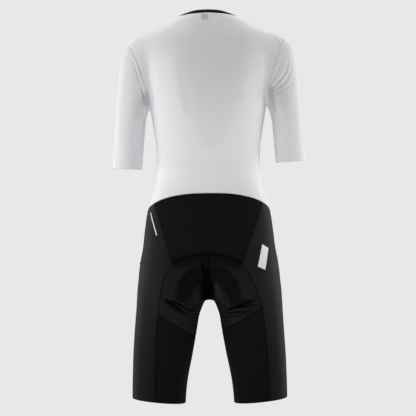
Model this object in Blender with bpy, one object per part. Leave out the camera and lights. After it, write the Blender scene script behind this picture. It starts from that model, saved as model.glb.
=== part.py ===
"""One-piece triathlon suit as it sits when worn: a short-sleeved top sewn to thigh-length shorts.

Frame: x to the wearer's left, y to the back, z up. The origin lies between the shoulders at the base of the
neck, where the suit is carried. Lengths below are millimetres; the meshes are metres.

Every cut piece is laid on one smooth figure, given by rows of ovals for its trunk, arms and legs. The seams
are curves on it, so that neighbouring pieces follow the same points and stand SEAM_GAP apart.
"""

import math

import bmesh
import bpy
import numpy as np
from mathutils import Matrix, Vector
from mathutils.bvhtree import BVHTree

METRE = 0.001

# Cloth. The figure's tables give the outside of the cloth, and its inner face lies this far within them.
CLOTH = 1.3
TOP_WALL = 1.2
SHORTS_WALL = 1.5
COLLAR_WALL = 1.8
SEAM_GAP = 0.3

# Trunk, as ovals: height, then half the width; height, then where the back or the front lies
TRUNK_SQUARENESS = 2.25
TRUNK_WIDTH = (
    (60, 58), (20, 58), (6, 59), (0, 63), (-5, 79.5), (-14, 94), (-24, 109.5), (-34, 127.5), (-44, 146),
    (-60, 162.5), (-80, 165), (-120, 158), (-180, 150), (-229, 145), (-260, 140), (-279, 137), (-299, 134), (-319, 131),
    (-334, 129.8), (-374, 129.2), (-399, 131.5), (-419, 134), (-439, 138), (-459, 145.5), (-484, 152.8),
    (-504, 156.3), (-549, 162), (-609, 166.5), (-640, 160), (-669, 148), (-700, 135), (-760, 125),
)
TRUNK_BACK = (
    (60, 40), (15, 48), (0, 58), (-30, 72), (-60, 84), (-100, 95), (-150, 100), (-200, 98), (-250, 91),
    (-300, 80), (-350, 70), (-370, 67), (-400, 69), (-450, 77), (-500, 90), (-550, 103), (-600, 111),
    (-640, 100), (-669, 85), (-700, 55), (-760, 40),
)
TRUNK_FRONT = (
    (60, -28), (0, -32), (-30, -35), (-62, -41), (-100, -62), (-150, -88), (-200, -110), (-240, -113),
    (-280, -105), (-330, -95), (-380, -92), (-430, -97), (-480, -104), (-530, -107), (-580, -104),
    (-640, -96), (-700, -82), (-760, -70),
)
TRUNK_FLOOR = -707.0
# The right shoulder stands a little higher: height, then how far the trunk's middle moves over
TRUNK_SWAY = ((60, 0), (0, 0), (-20, -1), (-45, -1), (-90, 0), (-760, 0))

# Limbs, as ovals: height, centre outwards, centre backwards, half the width, half the depth
LEG = (
    (-560, 72, 22, 78, 78), (-600, 78, 22, 84, 87), (-640, 85, 22, 87, 93), (-680, 92, 18, 87, 92),
    (-700, 95, 12, 85, 90), (-714, 97.5, 10, 84, 88), (-729, 101, 7, 81, 86), (-744, 104.5, 4, 78.9, 84),
    (-789, 109.6, -1, 77.2, 80.5), (-819, 113.4, -2, 75.5, 77), (-849, 117.1, -3, 73.7, 74),
    (-879, 120.8, -4, 70.9, 71), (-909, 124.2, -5, 68.7, 68), (-939, 126.2, -5, 67.2, 66),
    (-954, 126.9, -5, 66.8, 65.4), (-1020, 128.2, -5, 65.2, 64),
)
ARM = (
    (-60, 157, 12, 56.5, 46), (-100, 161, 10, 54.3, 46), (-160, 174, 6, 49, 44), (-209, 182, 1, 45, 43),
    (-230, 188, -2, 41, 43), (-240, 190.6, -3, 39.2, 42.5), (-259, 194, -6, 37.8, 42),
    (-334, 200, -14, 37.2, 41), (-374, 203, -18, 36.8, 41), (-440, 208, -24, 36, 40),
)
LEG_SWAY = ((-560, 0), (-720, 0), (-780, 0.9), (-1020, 0.9))  # height, how far both legs stand to the left
LEG_TOP, LEG_TOP_HEIGHT, LEG_SQUARENESS = -640.0, 75.0, 2.1
ARM_TOP, ARM_TOP_HEIGHT, ARM_SQUARENESS = {1: -114.0, -1: -115.0}, 67.0, 2.0
ARM_END = -430.0
ARM_SPREAD = {1: 0.0, -1: 3.5}  # the right arm hangs a little further out

# How far one part of the figure melts into the next
BLEND_LEGS, BLEND_FLOOR = 12.0, 26.0
BLEND_HIP = ((-560, 46), (-686, 46), (-706, 14), (-760, 12))
BLEND_ARM = ((-240, 12), (-190, 14), (-130, 26), (-90, 34), (-40, 34))

# Neck: angle from the centre back, height of the neck seam, height of the collar above it
NECK_CENTRE_Y = 9.0
NECK = (
    (0, 3.8, 7.6), (30, 3.3, 7.4), (50, 1.6, 6.4), (68, -1.8, 3.6), (85, -3.6, 2.6), (105, -8.0, 3.0),
    (125, -20.0, 3.4), (145, -37.0, 4.2), (165, -52.0, 5.0), (180, -58.0, 5.0),
)
# Armhole seam on the back: height, then how far out it lies on the left and on the right
ARMHOLE = (
    (-50, 211, 192), (-60, 205.5, 188.4), (-72, 199.2, 181.5), (-84, 188.5, 175.8), (-96, 181.2, 171.5),
    (-108.7, 177, 167.3), (-128, 169, 161.4), (-137, 165.9, 159.2), (-157, 160.4, 155.6),
    (-184, 153.9, 151.4), (-198, 150.8, 150.2), (-230, 145.6, 150.2), (-262, 145.6, 150.2),
)
ARMHOLE_CENTRE = (4.0, -145.0)  # y and z of the middle of the armhole
ARMHOLE_CREASE = (-190.0, -222.0)  # between these heights the seam moves over into the crease under the arm
ARMHOLE_SCOOP = 9.0  # how much further in the armhole runs in front
# Degrees from straight up to the shoulder seam's outer end, backwards
SHOULDER_SEAM_TURN = {1: 37.5, -1: 30.5}
# Sleeve hem: height on the outer side, then how much lower it is on the inner side
SLEEVE_HEM = {1: (-378.0, 4.8), -1: (-361.5, 5.5)}

# Waist seam: angle from the centre back, drop below the centre back
WAIST_TOP = -442.9
WAIST_CENTRE_Y = -8.0
WAIST_DROP = (
    (0, 0), (20, 0.3), (36, 1.8), (50, 6.0), (61, 11.6), (66, 15.6), (71.5, 21.2), (75.6, 26.2), (85, 36.5),
    (95, 49), (110, 68), (130, 88), (150, 102), (180, 110),
)
SIDE_SEAM_Y = 6.0

# Seams on the back of the shorts: height, then how far out on the left and on the right
YOKE_SIDE = (
    (-455, 136.4, 135.6), (-467.5, 133.3, 132.6), (-505, 121.5, 118.6), (-545, 109.3, 103.5),
    (-580, 98.8, 91.2), (-613, 89.5, 80.0), (-625, 86.0, 76.0),
)
REAR_SEAM = (
    (-600, 84, 72), (-613, 89.7, 79.6), (-625, 98.5, 87.4), (-637.7, 105.5, 95.8), (-652, 111.2, 104),
    (-665.8, 115.5, 110.2), (-682.7, 118.2, 116.2), (-697, 120.2, 120.8), (-706, 121.4, 123.4),
    (-722, 123.5, 128.4), (-738, 125, 131.2), (-758.5, 127.8, 133.8), (-772, 129.4, 135.4),
    (-815, 131.7, 139.3), (-860, 133.7, 142.2), (-895, 134.6, 144), (-953, 135.6, 144.4), (-980, 136, 144.4),
)
YOKE_CORNER = {1: -611.5, -1: -615.3}
# Arch below the yoke: share of the way out to the yoke's corner, share of the way down to it
YOKE_ARCH_TOP = -592.0
YOKE_ARCH = ((0, 0), (0.2, 0.03), (0.39, 0.10), (0.55, 0.24), (0.67, 0.42), (0.83, 0.69), (1, 1))
# Seam round the thigh: the height at which it leaves the rear seam, and how far it drops to the inner side
THIGH_SEAM_TOP = {1: -738.5, -1: -721.3}
THIGH_SEAM_DROP = 60.0
THIGH_SEAM_TURN = 104.0
INNER_SEAM_TURN = -140.0  # degrees from straight back to the inner seam, round the inside
GUSSET_END = -60.0, -690.0  # y and z of the lower end of the front seam
RISE_CENTRE = -5.0, -600.0
LEG_HEM, LEG_HEM_TILT = -959.0, 6.5

# Quads along each seam
COUNT = {
    "neck_back": 5, "neck_front": 6, "shoulder": 5, "armhole": 12, "side": 11, "underarm": 11,
    "waist_yoke": 6, "waist_side": 4, "waist_front": 11, "yoke_side": 14, "arch": 6, "rear_top": 5,
    "rear_low": 8, "crotch": 12, "front_rise": 8, "inner_top": 11, "inner_low": 8, "thigh": 12,
    "hem_outer": 15, "hem_inner": 12, "collar": 2,
}

# Swellings of the seat pad: middle, then how wide, deep and tall each swelling is
PAD_LOBES = (((41.0, 88.0, -692.0), (24.0, 40.0, 34.0)), ((-39.0, 88.0, -692.0), (24.0, 40.0, 34.0)))
PAD_HEIGHT = 3.0
# Folds: depth, half the width, then the points the fold runs through
FOLDS = (
    (3.0, 8.0, ((112, 99, -703), (101, 97, -716), (74, 88.5, -729), (59, 76.5, -740), (44, 68, -741))),
    (3.0, 8.0, ((-126, 92, -712), (-110, 93, -722), (-84, 90, -731), (-55, 77, -737), (-38, 50, -744))),
    (2.0, 7.0, ((-168, 46, -186), (-176, 48, -166), (-189, 48, -146), (-203, 42, -131))),
    (2.0, 7.0, ((158, 44, -186), (170, 47, -168), (186, 47, -150), (200, 40, -138))),
)

# Zip
CHAIN_HALF = 3.0
CHAIN_WALL = 2.2

# Small pieces that lie on a panel: gap below them, thickness
TRIM_GAP, TRIM_WALL = 0.4, 0.5
LABEL_SPAN = (14.2, -1.6, -2.2, -15.2)  # left, right, top and bottom
STRIPE = ((142.7, 31.2, -490.2), (135.6, 50.0, -517.0), (127.8, 67.2, -545.4))
STRIPE_HALF = 2.2
TAB = ((-135.5, 66.0, -575.0), (-131.5, 84.0, -601.0), (-124.5, 97.0, -628.0))
TAB_HALF = 10.5
WELT = (
    (139.0, 88.0, -616.5), (152.0, 71.0, -613.0), (163.0, 45.0, -615.0), (168.5, 10.0, -617.0),
    (166.0, -25.0, -620.0),
)
WELT_HALF, WELT_WALL = 2.2, 1.0

# Slider, in its own frame: x across, y up the zip, z away from the cloth. Boxes by two opposite corners.
SLIDER_BOXES = (
    ((-4.2, -9.5, 2.7), (4.2, 2.6, 4.1)),
    ((-4.2, -7.5, -2.6), (4.2, 2.6, -1.4)),
    ((-1.6, 0.5, -2.0), (1.6, 2.6, 3.5)),
    ((-3.2, -4.3, 3.8), (-2.2, -1.3, 7.4)),
    ((2.2, -4.3, 3.8), (3.2, -1.3, 7.4)),
)
SLIDER_LENGTH = 10.0
PIN_AT, PIN_RADIUS = (-2.8, 6.0), 0.6
BARREL_RADIUS, BORE_RADIUS, BARREL_HALF = 1.5, 0.95, 1.7
PULL_BOXES = (((-1.7, -5.5, -0.7), (1.7, -1.1, 0.7)), ((-2.9, -17.0, -0.7), (2.9, -5.0, 0.7)))
PULL_LEAN = 14.0  # degrees by which the hanging tab's tip stands away from the zip's own line

LEFT, RIGHT = 1, -1
SIDES = {LEFT: "left", RIGHT: "right"}


class Profile:
    """A size that eases from row to row of a short table."""

    def __init__(self, rows, column=1, ease=8.0, margin=40.0):
        rows = sorted(rows)
        at = np.array([row[0] for row in rows], float)
        value = np.array([row[column] for row in rows], float)
        self.grid = np.arange(at[0] - margin, at[-1] + margin + 1.0, 1.0)
        reach = np.arange(-int(3 * ease), int(3 * ease) + 1)
        weight = np.exp(-0.5 * (reach / ease) ** 2)
        padded = np.pad(np.interp(self.grid, at, value), len(reach) // 2, mode="edge")
        self.table = np.convolve(padded, weight / weight.sum(), mode="valid")

    def __call__(self, at):
        return np.interp(at, self.grid, self.table)


def oval_reach(offset, half, squareness):
    """How far each offset from an oval's centre lies outside the oval, along the offset; below 0 inside."""
    share = sum(np.abs(o / h) ** squareness for o, h in zip(offset, half)) ** (1.0 / squareness)
    length = np.sqrt(sum(o * o for o in offset))
    return length - length / np.maximum(share, 1e-6)


def melted(first, second, blend):
    """The union of two shapes' distances, rounded where they meet."""
    near = np.maximum(blend - np.abs(first - second), 0.0) / blend
    return np.minimum(first, second) - near**3 * blend / 6.0


def evened(part, points):
    """A part's distance over how fast it changes with height, so that flat shoulders blend like walls."""
    step = np.array((0.0, 0.0, 1.5))
    slope = (part(points + step) - part(points - step)) / 3.0
    return part(points) / np.sqrt(1.0 + slope * slope)


class Figure:
    """The shape the suit is stretched over: distance to it, its normals, and points laid on it."""

    def __init__(self):
        self.half_width = Profile(TRUNK_WIDTH, ease=5)
        self.back = Profile(TRUNK_BACK)
        self.front = Profile(TRUNK_FRONT)
        self.sway = Profile(TRUNK_SWAY)
        self.leg_sway = Profile(LEG_SWAY)
        self.hip_blend = Profile(BLEND_HIP, ease=5)
        self.leg_rows = [Profile(LEG, column) for column in (1, 2, 3, 4)]
        self.arm_rows = [Profile(ARM, column, ease=10) for column in (1, 2, 3, 4)]
        self.arm_blend = Profile(BLEND_ARM)

    def trunk(self, points):
        x, y, z = points.T
        back, front = self.back(z), self.front(z)
        centre, half_depth = (back + front) / 2, (back - front) / 2
        oval = oval_reach((x - self.sway(z), y - centre), (self.half_width(z), half_depth), TRUNK_SQUARENESS)
        return -melted(-oval, z - TRUNK_FLOOR, BLEND_FLOOR)

    def leg(self, points, side):
        x, y, z = points.T
        out, back, half_width, half_depth = (row(z) for row in self.leg_rows)
        offset = (side * (x - self.leg_sway(z)) - out, y - back, np.maximum(z - LEG_TOP, 0.0))
        return oval_reach(offset, (half_width, half_depth, LEG_TOP_HEIGHT), LEG_SQUARENESS)

    def arm(self, points, side):
        x, y, z = points.T
        out, back, half_width, half_depth = (row(z) for row in self.arm_rows)
        offset = (side * x - out - ARM_SPREAD[side], y - back, np.maximum(z - ARM_TOP[side], 0.0))
        reach = oval_reach(offset, (half_width, half_depth, ARM_TOP_HEIGHT), ARM_SQUARENESS)
        return np.maximum(reach, ARM_END - z)

    def distance(self, points, arms=True):
        left, right = (evened(lambda p, s=side: self.leg(p, s), points) for side in SIDES)
        legs = melted(left, right, BLEND_LEGS)
        found = melted(evened(self.trunk, points), legs, self.hip_blend(points[:, 2]))
        if arms:
            blend = self.arm_blend(points[:, 2])
            for side in SIDES:
                found = melted(found, evened(lambda p, s=side: self.arm(p, s), points), blend)
        return found + CLOTH

    def gradient(self, points, arms=True):
        step = 0.5
        slopes = [
            self.distance(points + step * axis, arms) - self.distance(points - step * axis, arms)
            for axis in np.eye(3)
        ]
        return np.stack(slopes, axis=1) / (2 * step)

    def normals(self, points):
        shape = points.shape
        slope = self.gradient(points.reshape(-1, 3))
        return (slope / np.linalg.norm(slope, axis=1, keepdims=True)).reshape(shape)

    def settled(self, points, rounds=6, arms=True):
        """The points moved onto the figure, each along its own slope."""
        shape = points.shape
        points = points.reshape(-1, 3).copy()
        for _ in range(rounds):
            slope = self.gradient(points, arms)
            steep = np.maximum((slope * slope).sum(axis=1), 0.25)
            move = np.clip(self.distance(points, arms) / steep, -12.0, 12.0)
            points -= slope * move[:, None]
        return points.reshape(shape)

    def cast(self, inside, outside, arms=True):
        """Where each straight line from a point inside to a point outside leaves the figure."""
        near, far = np.zeros(len(inside)), np.ones(len(inside))
        for _ in range(30):
            middle = (near + far) / 2
            out = self.distance(inside + (outside - inside) * middle[:, None], arms) > 0
            far = np.where(out, middle, far)
            near = np.where(out, near, middle)
        return inside + (outside - inside) * ((near + far) / 2)[:, None]


def columns(*values):
    """Points from their coordinates, each a number or an array."""
    return np.stack(np.broadcast_arrays(*values), axis=-1).astype(float)


def respaced(curve, count):
    """count + 1 points evenly spaced along a curve."""
    along = np.concatenate(([0.0], np.cumsum(np.linalg.norm(np.diff(curve, axis=0), axis=1))))
    wanted = np.linspace(0.0, along[-1], count + 1)
    return np.stack([np.interp(wanted, along, curve[:, axis]) for axis in range(3)], axis=1)


def joined(*curves):
    """Curves that follow one another, as one."""
    return np.concatenate([curves[0]] + [curve[1:] for curve in curves[1:]])


class Seams:
    """The suit's seams and edges. Each is a row of points on the figure."""

    SAMPLES = 160

    def __init__(self, figure, fineness=1):
        self.figure = figure
        self.fineness = fineness
        for side in SIDES:
            setattr(self, SIDES[side], {})
        self.centre = {}
        for side in SIDES:
            self.draw_neck(side)
            self.draw_armhole(side)
            self.draw_waist(side)
            self.draw_sides(side)
            self.draw_shorts(side)
        self.draw_zip()

    def of(self, side):
        return getattr(self, SIDES[side])

    def even(self, curve, name, arms=True):
        return self.figure.settled(respaced(curve, COUNT[name] * self.fineness), 4, arms)

    def neck_curve(self, side, turns, rise=0.0):
        """Points round the neck at angles from the centre back; rise is the share of the collar's height."""
        height = Profile(NECK, 1, ease=7)(turns) + rise * Profile(NECK, 2, ease=7)(turns)
        way = np.radians(turns)
        inside = columns(0.0, NECK_CENTRE_Y, height)
        outside = inside + 150.0 * columns(side * np.sin(way), np.cos(way), 0.0)
        return self.figure.cast(inside, outside)

    def draw_neck(self, side):
        to_seam = np.linspace(0.0, 88.0, self.SAMPLES)
        last = 180.0 - math.degrees(math.asin(CHAIN_HALF / 49.0))
        to_zip = np.linspace(88.0, last, self.SAMPLES)
        for name, turns in (("neck_back", to_seam), ("neck_front", to_zip)):
            count = COUNT[name] * self.fineness
            base = self.neck_curve(side, turns)
            along = np.concatenate(([0.0], np.cumsum(np.linalg.norm(np.diff(base, axis=0), axis=1))))
            at = np.interp(np.linspace(0.0, along[-1], count + 1), along, turns)
            self.of(side)[name] = self.neck_curve(side, at)
            for row in range(1, COUNT["collar"] * self.fineness + 1):
                share = row / (COUNT["collar"] * self.fineness)
                self.of(side)[f"{name}_{row}"] = self.neck_curve(side, at, share)

    def armhole_curve(self, side, turns):
        """Points on the armhole at angles from straight up: above 0 over the back, below 0 in front."""
        middle_y, middle_z = ARMHOLE_CENTRE
        out = Profile(ARMHOLE, 1 if side == LEFT else 2, ease=6)
        way = np.radians(turns)
        scoop = ARMHOLE_SCOOP * np.sin(np.clip(-turns / 180.0, 0.0, 1.0) * math.pi)
        near, far = np.zeros(len(turns)), np.full(len(turns), 140.0)
        for _ in range(30):
            reach = (near + far) / 2
            z = middle_z + reach * np.cos(way)
            y = middle_y + reach * np.sin(way)
            low = np.clip((ARMHOLE_CREASE[0] - z) / (ARMHOLE_CREASE[0] - ARMHOLE_CREASE[1]), 0.0, 1.0)
            low = low * low * (3 - 2 * low)
            x = (1 - low) * (out(z) - scoop) + low * self.crease_x(side, y, np.minimum(z, -200.0))
            points = columns(side * x, y, z)
            outside = self.figure.distance(points) > 0
            far = np.where(outside, reach, far)
            near = np.where(outside, near, reach)
        return points

    def crease_x(self, side, y, z):
        """How far out the arm and the trunk are equally near."""
        near, far = np.full(len(y), 120.0), np.full(len(y), 185.0)
        for _ in range(24):
            x = (near + far) / 2
            points = columns(side * x, y, z)
            on_trunk = self.figure.trunk(points) < self.figure.arm(points, side)
            far = np.where(on_trunk, far, x)
            near = np.where(on_trunk, x, near)
        return x

    def draw_armhole(self, side):
        curves = self.of(side)
        turns = np.linspace(SHOULDER_SEAM_TURN[side], 180.0, self.SAMPLES)
        curves["armhole_back"] = self.even(self.armhole_curve(side, turns), "armhole")
        turns = np.linspace(SHOULDER_SEAM_TURN[side], -180.0, 2 * self.SAMPLES)
        curves["armhole_front"] = self.even(self.armhole_curve(side, turns), "armhole")
        underarm = (curves["armhole_back"][-1] + curves["armhole_front"][-1]) / 2
        curves["armhole_back"][-1] = curves["armhole_front"][-1] = underarm
        start, end = curves["neck_back"][-1], curves["armhole_back"][0]
        share = np.linspace(0.0, 1.0, self.SAMPLES)
        x = start[0] + (end[0] - start[0]) * share
        y = start[1] + (end[1] - start[1]) * share**2.2
        ground = columns(x, y, 0.0)
        line = self.figure.cast(ground + (0, 0, -170.0), ground + (0, 0, 80.0))
        line[0], line[-1] = start, end
        curves["shoulder"] = self.even(line, "shoulder")
        curves["shoulder"][0], curves["shoulder"][-1] = start, end

    def waist_curve(self, side, turns):
        height = WAIST_TOP - Profile(WAIST_DROP, 1, ease=5)(turns) + Profile(WAIST_DROP, 1, ease=5)(0.0)
        way = np.radians(turns)
        inside = columns(0.0, WAIST_CENTRE_Y, height)
        outside = inside + 220.0 * columns(side * np.sin(way), np.cos(way), 0.0)
        return self.figure.cast(inside, outside, arms=False)

    def turn_at(self, side, meets):
        """The angle at which the waist seam first meets a condition on its points."""
        turns = np.linspace(0.0, 180.0, 2881)
        return turns[np.argmax(meets(self.waist_curve(side, turns)))]

    def draw_waist(self, side):
        curves = self.of(side)
        edge = Profile(YOKE_SIDE, 1 if side == LEFT else 2, ease=4)
        corner = self.turn_at(side, lambda p: side * p[:, 0] >= edge(p[:, 2]))
        flank = self.turn_at(side, lambda p: p[:, 1] <= SIDE_SEAM_Y)
        for name, first, last in (
            ("waist_yoke", 0.0, corner), ("waist_side", corner, flank), ("waist_front", flank, 180.0),
        ):
            dense = self.waist_curve(side, np.linspace(first, last, self.SAMPLES))
            curves[name] = self.even(dense, name, arms=False)

    def draw_sides(self, side):
        curves = self.of(side)
        underarm, flank = curves["armhole_back"][-1], curves["waist_side"][-1]
        share = np.linspace(0.0, 1.0, self.SAMPLES)
        z = underarm[2] + (flank[2] - underarm[2]) * share
        y = SIDE_SEAM_Y + (underarm[1] - SIDE_SEAM_Y) * (1 - share) ** 6
        inside = columns(0.0, y, z)
        line = self.figure.cast(inside, inside + (side * 200.0, 0.0, 0.0), arms=False)
        line[0], line[-1] = underarm, flank
        curves["side"] = self.even(line, "side")
        curves["side"][0], curves["side"][-1] = underarm, flank

        out, back, _, _ = (row for row in self.figure.arm_rows)
        hem, tilt = SLEEVE_HEM[side]

        def ring(turns, height):
            way = np.radians(turns)
            inside = columns(side * (out(height) + ARM_SPREAD[side]), back(height), height)
            outside = inside + 90.0 * columns(side * np.sin(way), np.cos(way), 0.0)
            near, far = np.zeros(len(inside)), np.ones(len(inside))
            for _ in range(30):
                middle = (near + far) / 2
                points = inside + (outside - inside) * middle[:, None]
                beyond = self.figure.arm(points, side) > 0
                far, near = np.where(beyond, middle, far), np.where(beyond, near, middle)
            return inside + (outside - inside) * ((near + far) / 2)[:, None]

        turns = np.linspace(-90.0, 270.0, 4 * self.SAMPLES)
        height = hem - tilt * (1 - np.sin(np.radians(turns))) / 2
        cuff = respaced(ring(turns, height), 2 * COUNT["armhole"] * self.fineness)
        cuff[-1] = cuff[0]
        curves["cuff"] = cuff
        height = underarm[2] + (cuff[0][2] - underarm[2]) * share
        line = ring(np.full(len(share), -90.0), height)
        line[0], line[-1] = underarm, cuff[0]
        curves["underarm"] = self.even(line, "underarm")
        curves["underarm"][0], curves["underarm"][-1] = underarm, cuff[0]

    def from_behind(self, x, z):
        """Points of the figure's back at these places."""
        inside = columns(x, 10.0, z)
        return self.figure.cast(inside, inside + (0.0, 200.0, 0.0), arms=False)

    def rise_curve(self, turns):
        """Points on the middle line, at angles from straight back round under the crotch to the front."""
        middle_y, middle_z = RISE_CENTRE
        way = np.radians(turns)
        inside = np.tile((0.0, middle_y, middle_z), (len(way), 1))
        outside = inside + 190.0 * columns(0.0, np.cos(way), -np.sin(way))
        return self.figure.cast(inside, outside, arms=False)

    def leg_curve(self, side, turns, height):
        """Points round a leg: angles from straight back, above 0 round the outside."""
        out, back, _, _ = (row(height) for row in self.figure.leg_rows)
        way = np.radians(turns)
        inside = columns(side * out, back, height)
        outside = inside + 130.0 * columns(side * np.sin(way), np.cos(way), 0.0)
        return self.figure.cast(inside, outside, arms=False)

    def leg_turn(self, side, point):
        out, back, _, _ = (row(point[2]) for row in self.figure.leg_rows)
        return math.degrees(math.atan2(side * point[0] - out, point[1] - back))

    def draw_shorts(self, side):
        curves = self.of(side)
        column = 1 if side == LEFT else 2
        edge, rear = Profile(YOKE_SIDE, column, ease=4), Profile(REAR_SEAM, column, ease=5)
        corner_z, thigh_z = YOKE_CORNER[side], THIGH_SEAM_TOP[side]

        z = np.linspace(curves["waist_yoke"][-1][2], corner_z, self.SAMPLES)
        line = self.from_behind(side * edge(z), z)
        line[0] = curves["waist_yoke"][-1]
        curves["yoke_side"] = self.even(line, "yoke_side", arms=False)
        curves["yoke_side"][0] = line[0]
        corner = curves["yoke_side"][-1]

        share_out = np.array([row[0] for row in YOKE_ARCH])
        share_down = np.array([row[1] for row in YOKE_ARCH])
        out = np.linspace(0.0, 1.0, self.SAMPLES)
        down = np.interp(out, share_out, share_down)
        down = np.convolve(np.pad(down, 10, mode="edge"), np.ones(21) / 21, mode="valid")
        down = (down - down[0]) / (down[-1] - down[0])
        z = YOKE_ARCH_TOP + (corner[2] - YOKE_ARCH_TOP) * down
        line = self.from_behind(corner[0] * out, z)
        line[-1] = corner
        curves["arch"] = self.even(line, "arch", arms=False)
        curves["arch"][-1] = corner

        for name, first, last in (("rear_top", corner_z, thigh_z), ("rear_low", thigh_z, LEG_HEM)):
            z = np.linspace(first, last, self.SAMPLES)
            share = np.clip((corner_z - z) / 20.0, 0.0, 1.0)
            x = side * rear(z) * share + corner[0] * (1 - share)
            line = self.from_behind(x, z)
            if name == "rear_top":
                line[0] = corner
            else:
                turn = self.leg_turn(side, line[-1])
                low = LEG_HEM + LEG_HEM_TILT * math.sin(math.radians(turn))
                z = np.linspace(first, low, self.SAMPLES)
                line = self.from_behind(side * rear(z), z)
                line[0] = curves["rear_top"][-1]
            curves[name] = self.even(line, name, arms=False)
            curves[name][0] = line[0]
        split, foot = curves["rear_low"][0], curves["rear_low"][-1]

        start = self.leg_turn(side, split)
        turns = np.linspace(start, INNER_SEAM_TURN, self.SAMPLES)
        ease = np.sin(0.5 * math.pi * np.minimum(1.0, (start - turns) / THIGH_SEAM_TURN))
        line = self.leg_curve(side, turns, split[2] - THIGH_SEAM_DROP * ease)
        line[0] = split
        curves["thigh"] = self.even(line, "thigh", arms=False)
        curves["thigh"][0] = split

        start = self.leg_turn(side, foot)
        for name, last in (("hem_inner", INNER_SEAM_TURN), ("hem_outer", 360.0 + INNER_SEAM_TURN)):
            turns = np.linspace(start, last, 2 * self.SAMPLES)
            height = LEG_HEM + LEG_HEM_TILT * np.sin(np.radians(turns))
            line = self.leg_curve(side, turns, height)
            curves[name] = self.even(line, name, arms=False)
            curves[name][0] = foot
        curves["hem_outer"][-1] = curves["hem_inner"][-1]

        if "crotch" not in self.centre:
            angles = np.linspace(-12.0, 168.0, 721)
            ring = self.rise_curve(angles)
            behind = ring[:, 1] > 0
            first = np.interp(-YOKE_ARCH_TOP, -ring[behind, 2], angles[behind])
            ahead = ring[:, 1] < -20
            last = np.interp(GUSSET_END[1], ring[ahead, 2], angles[ahead])
            line = self.rise_curve(np.linspace(first, last, self.SAMPLES))
            self.centre["crotch"] = self.even(line, "crotch", arms=False)
            waist = curves["waist_front"][-1]
            z = np.linspace(waist[2], self.centre["crotch"][-1][2], self.SAMPLES)
            inside = columns(0.0, 0.0, z)
            line = self.figure.cast(inside, inside + (0.0, -170.0, 0.0), arms=False)
            line[0], line[-1] = waist, self.centre["crotch"][-1]
            self.centre["front_rise"] = self.even(line, "front_rise", arms=False)
            self.centre["front_rise"][0], self.centre["front_rise"][-1] = line[0], line[-1]
        curves["arch"][0] = self.centre["crotch"][0]

        fork, inner = self.centre["crotch"][-1], curves["thigh"][-1]
        share = np.linspace(0.0, 1.0, self.SAMPLES)[:, None]
        line = self.figure.settled(fork + (inner - fork) * share, arms=False)
        line[0], line[-1] = fork, inner
        curves["inner_top"] = self.even(line, "inner_top", arms=False)
        curves["inner_top"][0], curves["inner_top"][-1] = fork, inner
        z = np.linspace(inner[2], curves["hem_inner"][-1][2], self.SAMPLES)
        line = self.leg_curve(side, np.full(self.SAMPLES, INNER_SEAM_TURN), z)
        line[0], line[-1] = inner, curves["hem_inner"][-1]
        curves["inner_low"] = self.even(line, "inner_low", arms=False)
        curves["inner_low"][0], curves["inner_low"][-1] = line[0], line[-1]

    def draw_zip(self):
        """The two edges of the zip, down the middle of the front."""
        for side in SIDES:
            curves = self.of(side)
            top = curves["neck_front"][-1]
            z = np.linspace(top[2], curves["waist_front"][-1][2], self.SAMPLES)
            inside = columns(side * CHAIN_HALF, 0.0, z)
            line = self.figure.cast(inside, inside + (0.0, -170.0, 0.0), arms=False)
            before, last = curves["waist_front"][-2:]
            share = (abs(before[0]) - CHAIN_HALF) / (abs(before[0]) - abs(last[0]))
            foot = before + (last - before) * share
            count = (COUNT["armhole"] + COUNT["side"]) * self.fineness
            edge = self.figure.settled(respaced(line, count), 4)
            edge[0], edge[-1] = top, foot
            curves["zip"] = edge
            curves["waist_top_front"] = curves["waist_front"].copy()
            curves["waist_top_front"][-1] = edge[-1]


def nearness(points, path):
    """How far each point lies from a path of straight pieces."""
    path = np.asarray(path, float)
    best = np.full(len(points), np.inf)
    for start, end in zip(path[:-1], path[1:]):
        along = end - start
        share = np.clip((points - start) @ along / (along @ along), 0.0, 1.0)
        best = np.minimum(best, np.linalg.norm(points - start - share[:, None] * along, axis=1))
    return best


def relief(points):
    """How far the cloth stands out from the figure: the seat pad's swellings less the folds."""
    flat = points.reshape(-1, 3)
    out = np.zeros(len(flat))
    for middle, size in PAD_LOBES:
        out += PAD_HEIGHT * np.exp(-(((flat - middle) / size) ** 2).sum(axis=1) * 1.5)
    for depth, half, path in FOLDS:
        out -= depth * np.exp(-0.5 * (nearness(flat, path) / half) ** 2)
    return out.reshape(points.shape[:-1])


def coons(top, bottom, left, right):
    """A grid of points between four edges. Rows run from top to bottom, columns from left to right."""
    u = np.linspace(0.0, 1.0, len(top))[None, :, None]
    v = np.linspace(0.0, 1.0, len(left))[:, None, None]
    across = (1 - u) * left[:, None] + u * right[:, None]
    down = (1 - v) * top[None] + v * bottom[None]
    corners = (
        (1 - u) * (1 - v) * top[0] + u * (1 - v) * top[-1] + (1 - u) * v * bottom[0] + u * v * bottom[-1]
    )
    return across + down - corners


def laid(figure, grid, rounds=40):
    """The grid laid on the figure with its edges held, and its points evened out."""
    grid = grid.copy()
    grid[1:-1, 1:-1] = figure.settled(grid[1:-1, 1:-1], 10)
    for _ in range(rounds):
        around = grid[:-2, 1:-1] + grid[2:, 1:-1] + grid[1:-1, :-2] + grid[1:-1, 2:]
        grid[1:-1, 1:-1] = figure.settled(around / 4.0, 1)
    grid[1:-1, 1:-1] = figure.settled(grid[1:-1, 1:-1], 4)
    return grid


def unit(vectors):
    return vectors / np.maximum(np.linalg.norm(vectors, axis=-1, keepdims=True), 1e-9)


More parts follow.
